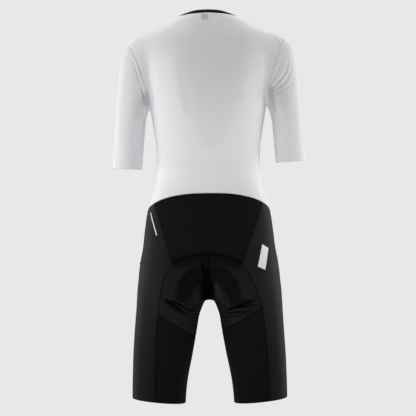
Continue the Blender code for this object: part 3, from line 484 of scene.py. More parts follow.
class Seams:
    """The suit's seams and edges, each a row of points on the figure.

    A seam has this many samples while it is drawn. Each ray is long enough to leave the figure.
    """

    samples = 300
    neck_ray = 150.0
    armhole_ray = 140.0
    arm_ray = 90.0
    waist_ray = 220.0
    trunk_ray = 200.0
    front_ray = 170.0
    rise_ray = 190.0
    leg_ray = 130.0
    crease_span = (120.0, 185.0)
    crease_top = -200.0

    def __init__(self, figure: Figure, pattern: Pattern, fineness: int) -> None:
        """Draw every seam.

        Args:
            figure: The figure under the cloth.
            pattern: Where the seams run.
            fineness: How many points each seam has for one of the pattern's counts.
        """
        self.figure, self.pattern, self.fineness = figure, pattern, fineness
        self.curves: dict[Side, dict[str, Array]] = {side: {} for side in Side}
        self.centre: dict[str, Array] = {}
        for side in Side:
            self.draw_neck(side)
            self.draw_armhole(side)
            self.draw_waist(side)
            self.draw_sides(side)
            self.draw_seat(side)
            self.draw_legs(side)
        for side in Side:
            self.draw_zip(side)

    def even(self, curve: Array, name: str, arms: bool = True) -> Array:
        """A curve respaced to its count and settled on the figure."""
        return self.figure.settled(respaced(curve, self.pattern.count[name] * self.fineness), 3, arms)

    def pinned(self, side: Side, name: str, line: Array, arms: bool = True) -> Array:
        """Store a seam whose two ends stay exactly where the line has them.

        Args:
            side: The side that the seam belongs to.
            name: The seam's name.
            line: Dense points along it.
            arms: Whether the arms count as it settles.

        Returns:
            The stored seam.
        """
        curve = self.even(line, name, arms)
        curve[0], curve[-1] = line[0], line[-1]
        self.curves[side][name] = curve
        return curve

    def neck_curve(self, side: Side, turns: Array, rise: float = 0.0) -> Array:
        """Points round the neck, cast outwards at each turn.

        Args:
            side: Which half of the neck.
            turns: Degrees from the centre back.
            rise: The share of the collar's height that is added.

        Returns:
            A point for each turn.
        """
        seam, band = (Profile(self.pattern.neck, column, ease=7)(turns) for column in (1, 2))
        inside = columns(0.0, self.pattern.neck_centre_y, seam + rise * band)
        return self.figure.cast(inside, inside + self.neck_ray * outwards(side, turns))

    def draw_neck(self, side: Side) -> None:
        """Draw the neck seam in two stretches, and the collar's rows above it."""
        last = 180.0 - math.degrees(math.asin(self.pattern.chain_half / self.pattern.neck_front_reach))
        rows, middle = self.pattern.count["collar"] * self.fineness, self.pattern.neck_side_turn
        for name, first, end in (("neck_back", 0.0, middle), ("neck_front", middle, last)):
            turns = np.linspace(first, end, self.samples)
            along = arc_lengths(self.neck_curve(side, turns))
            steps = self.pattern.count[name] * self.fineness
            at = np.interp(np.linspace(0.0, along[-1], steps + 1), along, turns)
            self.curves[side][name] = self.neck_curve(side, at)
            for row in range(1, rows + 1):
                self.curves[side][f"{name}_{row}"] = self.neck_curve(side, at, row / rows)

    def crease_x(self, side: Side, y: Array, z: Array) -> Array:
        """How far out the arm and the trunk are equally near."""

        def on_arm(x: Array) -> Array:
            points = columns(side.value * x, y, z)
            return self.figure.trunk(points) >= self.figure.arm(points, side)

        start, end = (np.full(len(y), x) for x in self.crease_span)
        return halved(start, end, 19, on_arm)

    def armhole_curve(self, side: Side, turns: Array) -> Array:
        """Points on the armhole, found by halving along rays from its middle.

        Args:
            side: Which armhole.
            turns: Degrees from straight up, above 0 over the back and below 0 over the front.

        Returns:
            A point for each turn.
        """
        middle_y, middle_z = self.pattern.armhole_centre
        high, low = self.pattern.armhole_crease
        out = Profile(self.pattern.armhole, side.column, ease=6)
        way = np.radians(turns)
        scoop = self.pattern.armhole_scoop * np.sin(np.clip(-turns / 180.0, 0.0, 1.0) * math.pi)

        def at(reach: Array) -> Array:
            z = middle_z + reach * np.cos(way)
            y = middle_y + reach * np.sin(way)
            share = smoothstep(-high, -low, -z)
            crease = self.crease_x(side, y, np.minimum(z, self.crease_top))
            return columns(side.value * ((1 - share) * (out(z) - scoop) + share * crease), y, z)

        start, end = np.zeros(len(turns)), np.full(len(turns), self.armhole_ray)
        return at(halved(start, end, 23, lambda reach: self.figure.distance(at(reach)) > 0))

    def draw_armhole(self, side: Side) -> None:
        """Draw the armhole and the shoulder seam, where y eases as the share of the way to the power 2.2."""
        curves = self.curves[side]
        top = self.pattern.shoulder_turn[side.column - 1]
        back = self.armhole_curve(side, np.linspace(top, 180.0, self.samples))
        front = self.armhole_curve(side, np.linspace(top, -180.0, 2 * self.samples))
        curves["armhole_back"] = self.even(back, "armhole")
        curves["armhole_front"] = self.even(front, "armhole")
        underarm = (curves["armhole_back"][-1] + curves["armhole_front"][-1]) / 2
        curves["armhole_back"][-1] = curves["armhole_front"][-1] = underarm
        start, end = curves["neck_back"][-1], curves["armhole_back"][0]
        share = np.linspace(0.0, 1.0, self.samples)
        x = start[0] + (end[0] - start[0]) * share
        y = start[1] + (end[1] - start[1]) * share**2.2
        ground = columns(x, y, 0.0)
        line = self.figure.cast(ground + (0, 0, -170.0), ground + (0, 0, 80.0))
        line[0], line[-1] = start, end
        self.pinned(side, "shoulder", line)

    def waist_curve(self, side: Side, turns: Array) -> Array:
        """Points on the waist seam at these turns from the centre back."""
        drop = Profile(self.pattern.waist_drop, 1, ease=5)
        height = self.pattern.waist_top - drop(turns) + drop(0.0)
        inside = columns(0.0, self.pattern.waist_centre_y, height)
        return self.figure.cast(inside, inside + self.waist_ray * outwards(side, turns), arms=False)

    def draw_waist(self, side: Side) -> None:
        """Draw the waist seam in the three stretches that the panels below it make."""
        edge = Profile(self.pattern.yoke_side, side.column, ease=4)
        turns = np.linspace(0.0, 180.0, 1441)
        ring = self.waist_curve(side, turns)
        corner = turns[np.argmax(side.value * ring[:, 0] >= edge(ring[:, 2]))]
        flank = turns[np.argmax(ring[:, 1] <= self.pattern.side_seam_y)]
        spans = (("waist_yoke", 0.0, corner), ("waist_side", corner, flank), ("waist_front", flank, 180.0))
        for name, first, last in spans:
            dense = self.waist_curve(side, np.linspace(first, last, self.samples))
            self.curves[side][name] = self.even(dense, name, arms=False)

    def arm_ring(self, side: Side, turns: Array, height: Array) -> Array:
        """Points round the arm alone, at these turns from its back."""
        inside = columns(*self.figure.arm_middle(height, side), height)
        ray = self.arm_ray * outwards(side, turns)
        start, end = np.zeros(len(inside)), np.ones(len(inside))
        share = halved(start, end, 24, lambda s: self.figure.arm(inside + ray * s[:, None], side) > 0)
        return inside + ray * share[:, None]

    def draw_sides(self, side: Side) -> None:
        """Draw the side seam, the sleeve's hem and the seam under the arm."""
        curves = self.curves[side]
        underarm, flank = curves["armhole_back"][-1], curves["waist_side"][-1]
        share = np.linspace(0.0, 1.0, self.samples)
        z = underarm[2] + (flank[2] - underarm[2]) * share
        y = self.pattern.side_seam_y + (underarm[1] - self.pattern.side_seam_y) * (1 - share) ** 6
        inside = columns(0.0, y, z)
        line = self.figure.cast(inside, inside + (side.value * self.trunk_ray, 0.0, 0.0), arms=False)
        line[0], line[-1] = underarm, flank
        self.pinned(side, "side", line)
        hem, tilt = self.pattern.sleeve_hem[side.column - 1]
        turns = np.linspace(-90.0, 270.0, 4 * self.samples)
        height = hem - tilt * (1 - np.sin(np.radians(turns))) / 2
        steps = 2 * self.pattern.count["armhole"] * self.fineness
        cuff = respaced(self.arm_ring(side, turns, height), steps)
        cuff[-1] = cuff[0]
        curves["cuff"] = cuff
        height = underarm[2] + (cuff[0][2] - underarm[2]) * share
        line = self.arm_ring(side, np.full(len(share), -90.0), height)
        line[0], line[-1] = underarm, cuff[0]
        self.pinned(side, "underarm", line)

    def from_behind(self, x: Array, z: Array) -> Array:
        """Points of the figure's back at these places."""
        inside = columns(x, 10.0, z)
        return self.figure.cast(inside, inside + (0.0, self.trunk_ray, 0.0), arms=False)

    def rise_curve(self, turns: Array) -> Array:
        """Points on the middle line, at turns from straight back round under the crotch to the front."""
        middle_y, middle_z = self.pattern.rise_centre
        way = np.radians(turns)
        inside = np.tile((0.0, middle_y, middle_z), (len(way), 1))
        outside = inside + self.rise_ray * columns(0.0, np.cos(way), -np.sin(way))
        return self.figure.cast(inside, outside, arms=False)

    def leg_curve(self, side: Side, turns: Array, height: Array | float) -> Array:
        """Points round a leg, at turns from straight back that grow round the outside."""
        out, back = (size(height) for size in self.figure.leg_sizes[:2])
        inside = columns(side.value * out, back, height)
        return self.figure.cast(inside, inside + self.leg_ray * outwards(side, turns), arms=False)

    def leg_turn(self, side: Side, point: Array) -> float:
        """The turn round the leg at which a point lies."""
        out, back = (size(point[2]) for size in self.figure.leg_sizes[:2])
        return math.degrees(math.atan2(side.value * point[0] - out, point[1] - back))

    def draw_seat(self, side: Side) -> None:
        """Draw the yoke's side, the arch below it, and the rear seam down to the hem."""
        curves, pattern = self.curves[side], self.pattern
        edge = Profile(pattern.yoke_side, side.column, ease=4)
        rear = Profile(pattern.rear_seam, side.column, ease=5)
        corner_z = pattern.yoke_corner[side.column - 1]
        thigh_z = pattern.thigh_seam_top[side.column - 1]
        z = np.linspace(curves["waist_yoke"][-1][2], corner_z, self.samples)
        line = self.from_behind(side.value * edge(z), z)
        line[0] = curves["waist_yoke"][-1]
        corner = self.pinned(side, "yoke_side", line, arms=False)[-1]

        out = np.linspace(0.0, 1.0, self.samples)
        down = np.interp(out, *np.transpose(pattern.yoke_arch))
        half = self.samples // 16
        box = np.ones(2 * half + 1) / (2 * half + 1)
        down = np.convolve(np.pad(down, half, mode="edge"), box, mode="valid")
        down = (down - down[0]) / (down[-1] - down[0])
        z = pattern.yoke_arch_top + (corner[2] - pattern.yoke_arch_top) * down
        line = self.from_behind(corner[0] * out, z)
        line[-1] = corner
        self.pinned(side, "arch", line, arms=False)

        z = np.linspace(corner_z, thigh_z, self.samples)
        share = np.clip((corner_z - z) / pattern.yoke_corner_ease, 0.0, 1.0)
        line = self.from_behind(side.value * rear(z) * share + corner[0] * (1 - share), z)
        line[0] = corner
        split = self.pinned(side, "rear_top", line, arms=False)[-1]
        hem = np.array([pattern.leg_hem])
        foot = self.from_behind(side.value * rear(hem), hem)[0]
        low = pattern.leg_hem + pattern.leg_hem_tilt * math.sin(math.radians(self.leg_turn(side, foot)))
        z = np.linspace(thigh_z, low, self.samples)
        line = self.from_behind(side.value * rear(z), z)
        line[0] = split
        self.pinned(side, "rear_low", line, arms=False)

    def draw_rise(self, side: Side) -> None:
        """Draw the shorts' middle seam, from the arch under the crotch and up to the waist in front."""
        pattern = self.pattern
        angles = np.linspace(-12.0, 168.0, 721)
        ring = self.rise_curve(angles)
        behind, ahead = ring[:, 1] > 0, ring[:, 1] < -20
        first = np.interp(-pattern.yoke_arch_top, -ring[behind, 2], angles[behind])
        last = np.interp(pattern.gusset_end, ring[ahead, 2], angles[ahead])
        line = self.rise_curve(np.linspace(first, last, self.samples))
        self.centre["crotch"] = self.even(line, "crotch", arms=False)
        waist, fork = self.curves[side]["waist_front"][-1], self.centre["crotch"][-1]
        inside = columns(0.0, 0.0, np.linspace(waist[2], fork[2], self.samples))
        line = self.figure.cast(inside, inside + (0.0, -self.front_ray, 0.0), arms=False)
        line[0], line[-1] = waist, fork
        self.centre["front_rise"] = self.pinned(side, "front_rise", line, arms=False)

    def draw_legs(self, side: Side) -> None:
        """Draw the seam round the thigh, the hem and the inner leg's seam."""
        curves, pattern = self.curves[side], self.pattern
        split, foot = curves["rear_low"][0], curves["rear_low"][-1]
        start = self.leg_turn(side, split)
        turns = np.linspace(start, pattern.inner_seam_turn, self.samples)
        ease = np.sin(0.5 * math.pi * np.minimum(1.0, (start - turns) / pattern.thigh_seam_turn))
        line = self.leg_curve(side, turns, split[2] - pattern.thigh_seam_drop * ease)
        line[0] = split
        self.pinned(side, "thigh", line, arms=False)
        start = self.leg_turn(side, foot)
        inner_turn = pattern.inner_seam_turn
        for name, last in (("hem_inner", inner_turn), ("hem_outer", 360.0 + inner_turn)):
            turns = np.linspace(start, last, 2 * self.samples)
            height = pattern.leg_hem + pattern.leg_hem_tilt * np.sin(np.radians(turns))
            line = self.leg_curve(side, turns, height)
            line[0] = foot
            self.pinned(side, name, line, arms=False)
        curves["hem_outer"][-1] = curves["hem_inner"][-1]
        if "crotch" not in self.centre:
            self.draw_rise(side)
        curves["arch"][0] = self.centre["crotch"][0]
        fork, inner = self.centre["crotch"][-1], curves["thigh"][-1]
        share = np.linspace(0.0, 1.0, self.samples)[:, None]
        line = self.figure.settled(fork + (inner - fork) * share, arms=False)
        line[0], line[-1] = fork, inner
        self.pinned(side, "inner_top", line, arms=False)
        z = np.linspace(inner[2], curves["hem_inner"][-1][2], self.samples)
        line = self.leg_curve(side, np.full(self.samples, pattern.inner_seam_turn), z)
        line[0], line[-1] = inner, curves["hem_inner"][-1]
        self.pinned(side, "inner_low", line, arms=False)

    def draw_zip(self, side: Side) -> None:
        """Draw the zip's edge down the middle of the front."""
        curves, half = self.curves[side], self.pattern.chain_half
        top = curves["neck_front"][-1]
        z = np.linspace(top[2], curves["waist_front"][-1][2], self.samples)
        inside = columns(side.value * half, 0.0, z)
        line = self.figure.cast(inside, inside + (0.0, -self.front_ray, 0.0), arms=False)
        before, last = curves["waist_front"][-1 - self.fineness], curves["waist_front"][-1]
        foot = before + (last - before) * (abs(before[0]) - half) / (abs(before[0]) - abs(last[0]))
        steps = (self.pattern.count["armhole"] + self.pattern.count["side"]) * self.fineness
        edge = self.figure.settled(respaced(line, steps), 3)
        edge[0], edge[-1] = top, foot
        curves["zip"] = edge
        above = curves["waist_front"].copy()
        share = smoothstep(0.0, 1.0, np.arange(len(above)) / (len(above) - 1.0)) ** 8
        curves["waist_top_front"] = above + share[:, None] * (foot - above[-1])


def coons(top: Array, bottom: Array, left: Array, right: Array) -> Array:
    """A Coons patch: (1-v) top + v bottom + (1-u) left + u right less the corners' bilinear blend.

    Args:
        top: Points along the first row.
        bottom: Points along the last row.
        left: Points down the first column.
        right: Points down the last column.

    Returns:
        A grid, rows from top to bottom and columns from left to right.
    """
    u = np.linspace(0.0, 1.0, len(top))[None, :, None]
    v = np.linspace(0.0, 1.0, len(left))[:, None, None]
    across = (1 - u) * left[:, None] + u * right[:, None]
    down = (1 - v) * top[None] + v * bottom[None]
    corners = (1 - u) * (1 - v) * top[0] + u * (1 - v) * top[-1]
    corners = corners + (1 - u) * v * bottom[0] + u * v * bottom[-1]
    return across + down - corners


def cubic_weights(cells: int, times: int) -> Array:
    """Catmull-Rom weights that read a row of cells + 1 points at times points a cell."""
    at = np.arange(cells * times + 1) / times
    cell = np.minimum(at.astype(int), cells - 1)
    t = at - cell
    basis = (
        (-t + 2 * t**2 - t**3) / 2, (2 - 5 * t**2 + 3 * t**3) / 2,
        (t + 4 * t**2 - 3 * t**3) / 2, (t**3 - t**2) / 2,
    )
    padded = np.zeros((len(at), cells + 3))
    for shift, weight in enumerate(basis):
        padded[np.arange(len(at)), cell + shift] += weight
    weights = padded[:, 1:-1].copy()
    weights[:, 0] += 2 * padded[:, 0]
    weights[:, 1] -= padded[:, 0]
    weights[:, -1] += 2 * padded[:, -1]
    weights[:, -2] -= padded[:, -1]
    return weights


def linear_weights(cells: int, stations: Array) -> Array:
    """Weights that read a row of cells + 1 points at any stations by straight interpolation."""
    cell = np.minimum(stations.astype(int), cells - 1)
    share = stations - cell
    weights = np.zeros((len(stations), cells + 1))
    weights[np.arange(len(stations)), cell] = 1.0 - share
    weights[np.arange(len(stations)), cell + 1] += share
    return weights


def grid_normals(grid: Array) -> Array:
    """Unit normals of a grid from the cross product of its row and column differences."""
    return unit(np.cross(np.gradient(grid, axis=0), np.gradient(grid, axis=1)))


def relaxed(figure: Figure, grid: Array, rounds: int = 40) -> Array:
    """The grid laid on the figure with its edges held, its inner points drawn to their neighbours' mean.

    Args:
        figure: The figure under the cloth.
        grid: A grid whose edges lie on the figure.
        rounds: How many rounds of evening are done.

    Returns:
        The laid grid.
    """
    grid = grid.copy()
    grid[1:-1, 1:-1] = figure.settled(grid[1:-1, 1:-1], 8)
    for _ in range(rounds):
        around = grid[:-2, 1:-1] + grid[2:, 1:-1] + grid[1:-1, :-2] + grid[1:-1, 2:]
        grid[1:-1, 1:-1] = figure.pressed(around / 4.0, grid_normals(grid)[1:-1, 1:-1])
    grid[1:-1, 1:-1] = figure.settled(grid[1:-1, 1:-1], 3)
    return grid


@dataclass(frozen=True)
class Edges:
    """The four edges of a cut piece, as dense rows of points on the figure."""

    top: Array
    bottom: Array
    left: Array
    right: Array

    def every(self, down: int, across: int) -> tuple[Array, Array, Array, Array]:
        """The edges with only every so many-th point, down the columns and across the rows."""
        return self.top[::across], self.bottom[::across], self.left[::down], self.right[::down]


def laid(figure: Figure, edges: Edges, dense: int, fine: tuple[int, int]) -> Array:
    """A fine grid between four edges, on the figure.

    A coarse Coons patch is relaxed on the figure, read between its points by cubics, corrected along its
    edges and pressed back onto the figure.

    Args:
        figure: The figure under the cloth.
        edges: The piece's edges, with dense points for each coarse cell.
        dense: How many edge points there are for each coarse cell.
        fine: How many cells the fine grid has for each coarse cell, down and across; both divide dense.

    Returns:
        The fine grid.
    """
    coarse = relaxed(figure, coons(*edges.every(dense, dense)))
    rows, cols = coarse.shape[0] - 1, coarse.shape[1] - 1
    by_rows, by_cols = cubic_weights(rows, fine[0]), cubic_weights(cols, fine[1])
    grid = np.einsum("ia,jb,abk->ijk", by_rows, by_cols, coarse, optimize=True)
    top, bottom, left, right = edges.every(dense // fine[0], dense // fine[1])
    grid = grid + coons(top - grid[0], bottom - grid[-1], left - grid[:, 0], right - grid[:, -1])
    for _ in range(3):
        grid[1:-1, 1:-1] = figure.pressed(grid[1:-1, 1:-1], grid_normals(grid)[1:-1, 1:-1])
    return grid


@dataclass(frozen=True)
class Crease:
    """A crease in the cloth: a soft trough along a path, with a low ridge on one side of it.

    Across the path, at a distance s in units of the half width, the cloth moves by
    -depth exp(-s^2) + ridge depth exp(-(s - 1.9)^2 / 0.8). Both fade to 0.12 of that at the ends, and neither
    goes further than five half widths.
    """

    path: Table
    depth: float
    half: float
    ridge: float = 0.5
    fade: float = 0.25
    # painted shade in the trough and painted light on the ridge, in step with the move
    tone: float = 1.0

    def relief(self, points: Array, normals: Array) -> Array:
        """How far the crease moves each point along its normal.

        Args:
            points: An (n, 3) array.
            normals: The unit normals there.

        Returns:
            The move of each point, in millimetres.
        """
        path = np.asarray(self.path, float)
        reach = 5.0 * self.half
        near = ((points > path.min(axis=0) - reach) & (points < path.max(axis=0) + reach)).all(axis=1)
        out = np.zeros(len(points))
        if not near.any():
            return out
        dense = smooth_path(path, 48)
        along = arc_lengths(dense)
        best, share, sign = self.nearest(dense, along, points[near], normals[near])
        s = best / self.half
        profile = -np.exp(-s * s) + self.ridge * np.exp(-((s * sign - 1.9) ** 2) / 0.8)
        ends = smoothstep(0.0, self.fade, share) * smoothstep(0.0, self.fade, 1.0 - share)
        out[near] = self.depth * profile * (0.12 + 0.88 * ends) * (best <= reach)
        return out

    @staticmethod
    def nearest(dense: Array, along: Array, points: Array, normals: Array) -> tuple[Array, Array, Array]:
        """The nearest place on a path of straight pieces.

        Args:
            dense: The path's points.
            along: How far along the path each of them lies.
            points: The points that ask.
            normals: The cloth's normals there.

        Returns:
            For each point its distance, its share along the path, and the side of the path that it is on.
        """
        best = np.full(len(points), np.inf)
        share = np.zeros(len(points))
        sign = np.ones(len(points))
        for index in range(len(dense) - 1):
            way = dense[index + 1] - dense[index]
            t = np.clip((points - dense[index]) @ way / (way @ way), 0.0, 1.0)
            offset = points - dense[index] - t[:, None] * way
            length = np.linalg.norm(offset, axis=1)
            closer = length < best
            best = np.where(closer, length, best)
            here = (along[index] + t * (along[index + 1] - along[index])) / along[-1]
            share = np.where(closer, here, share)
            turned = (np.cross(normals, way) * offset).sum(axis=1)
            sign = np.where(closer, np.where(turned > 0, 1.0, -1.0), sign)
        return best, share, sign


def smooth_path(path: Array, count: int) -> Array:
    """A path read at count + 1 even places along its Catmull-Rom curve."""
    curve = cubic_weights(len(path) - 1, 24) @ np.asarray(path, float)
    return respaced(curve, count)


@dataclass(frozen=True)
class Swelling:
    """A soft swelling: height exp(-1.5 sum ((p - middle) / size)^2)."""

    middle: tuple[float, float, float]
    size: tuple[float, float, float]
    height: float
    # painted light in step with the lift; 0 paints none
    tone: float = 0.0

    def relief(self, points: Array, normals: Array) -> Array:
        """How far the swelling lifts each point."""
        away = (((points - self.middle) / self.size) ** 2).sum(axis=1)
        return self.height * np.exp(-1.5 * away)


@dataclass(frozen=True)
class Zone:
    """A stretch of cloth along a path that stands out or lies in; painted light or painted shade makes its
    colour lighter or darker than the rest.

    Its share is 1 - smoothstep(r - edge, r + edge, d), d the distance to the path. The radius r changes
    evenly between the path's points.
    """

    path: Table
    radii: tuple[float, ...]
    edge: float
    # the painted light or shade that the zone brings to the colour; 1 is the cloth's own
    level: float
    height: float = 0.0
    # painted light or shade in step with the zone's lift
    tone: float = 0.0

    def share(self, points: Array, normals: Array) -> Array:
        """How much of the zone each point has, from 0 to 1."""
        path = np.asarray(self.path, float)
        reach = max(self.radii) + self.edge
        near = ((points > path.min(axis=0) - reach) & (points < path.max(axis=0) + reach)).all(axis=1)
        out = np.zeros(len(points))
        if near.any():
            along = arc_lengths(path)
            away, place, _ = Crease.nearest(path, along, points[near], normals[near])
            radius = np.interp(place, along / along[-1], self.radii)
            out[near] = 1.0 - smoothstep(0.0, 2 * self.edge, away - radius + self.edge)
        return out

    def relief(self, points: Array, normals: Array) -> Array:
        """How far the zone lifts each point."""
        return self.height * self.share(points, normals)


@dataclass(frozen=True)
class Puckers:
    """Small dents side by side along a line of stitches.

    At arc length a the dent is depth exp(-(s/half)^2) (0.35 + 0.65 w), w = 0.5 + 0.5 cos(2 pi a / pitch).
    """

    path: Table
    pitch: float
    half: float
    depth: float
    # painted shade in each dent, in step with its depth
    tone: float = 1.0

    def relief(self, points: Array, normals: Array) -> Array:
        """How far the dents move each point."""
        path = smooth_path(np.asarray(self.path, float), 60)
        near = ((points > path.min(axis=0) - 15.0) & (points < path.max(axis=0) + 15.0)).all(axis=1)
        out = np.zeros(len(points))
        if near.any():
            along = arc_lengths(path)
            best, share, _ = Crease.nearest(path, along, points[near], normals[near])
            wave = 0.5 + 0.5 * np.cos(2 * math.pi * share * along[-1] / self.pitch)
            ends = smoothstep(0.0, 0.06, share) * smoothstep(0.0, 0.06, 1.0 - share)
            out[near] = -self.depth * np.exp(-((best / self.half) ** 2)) * (0.35 + 0.65 * wave) * ends
        return out


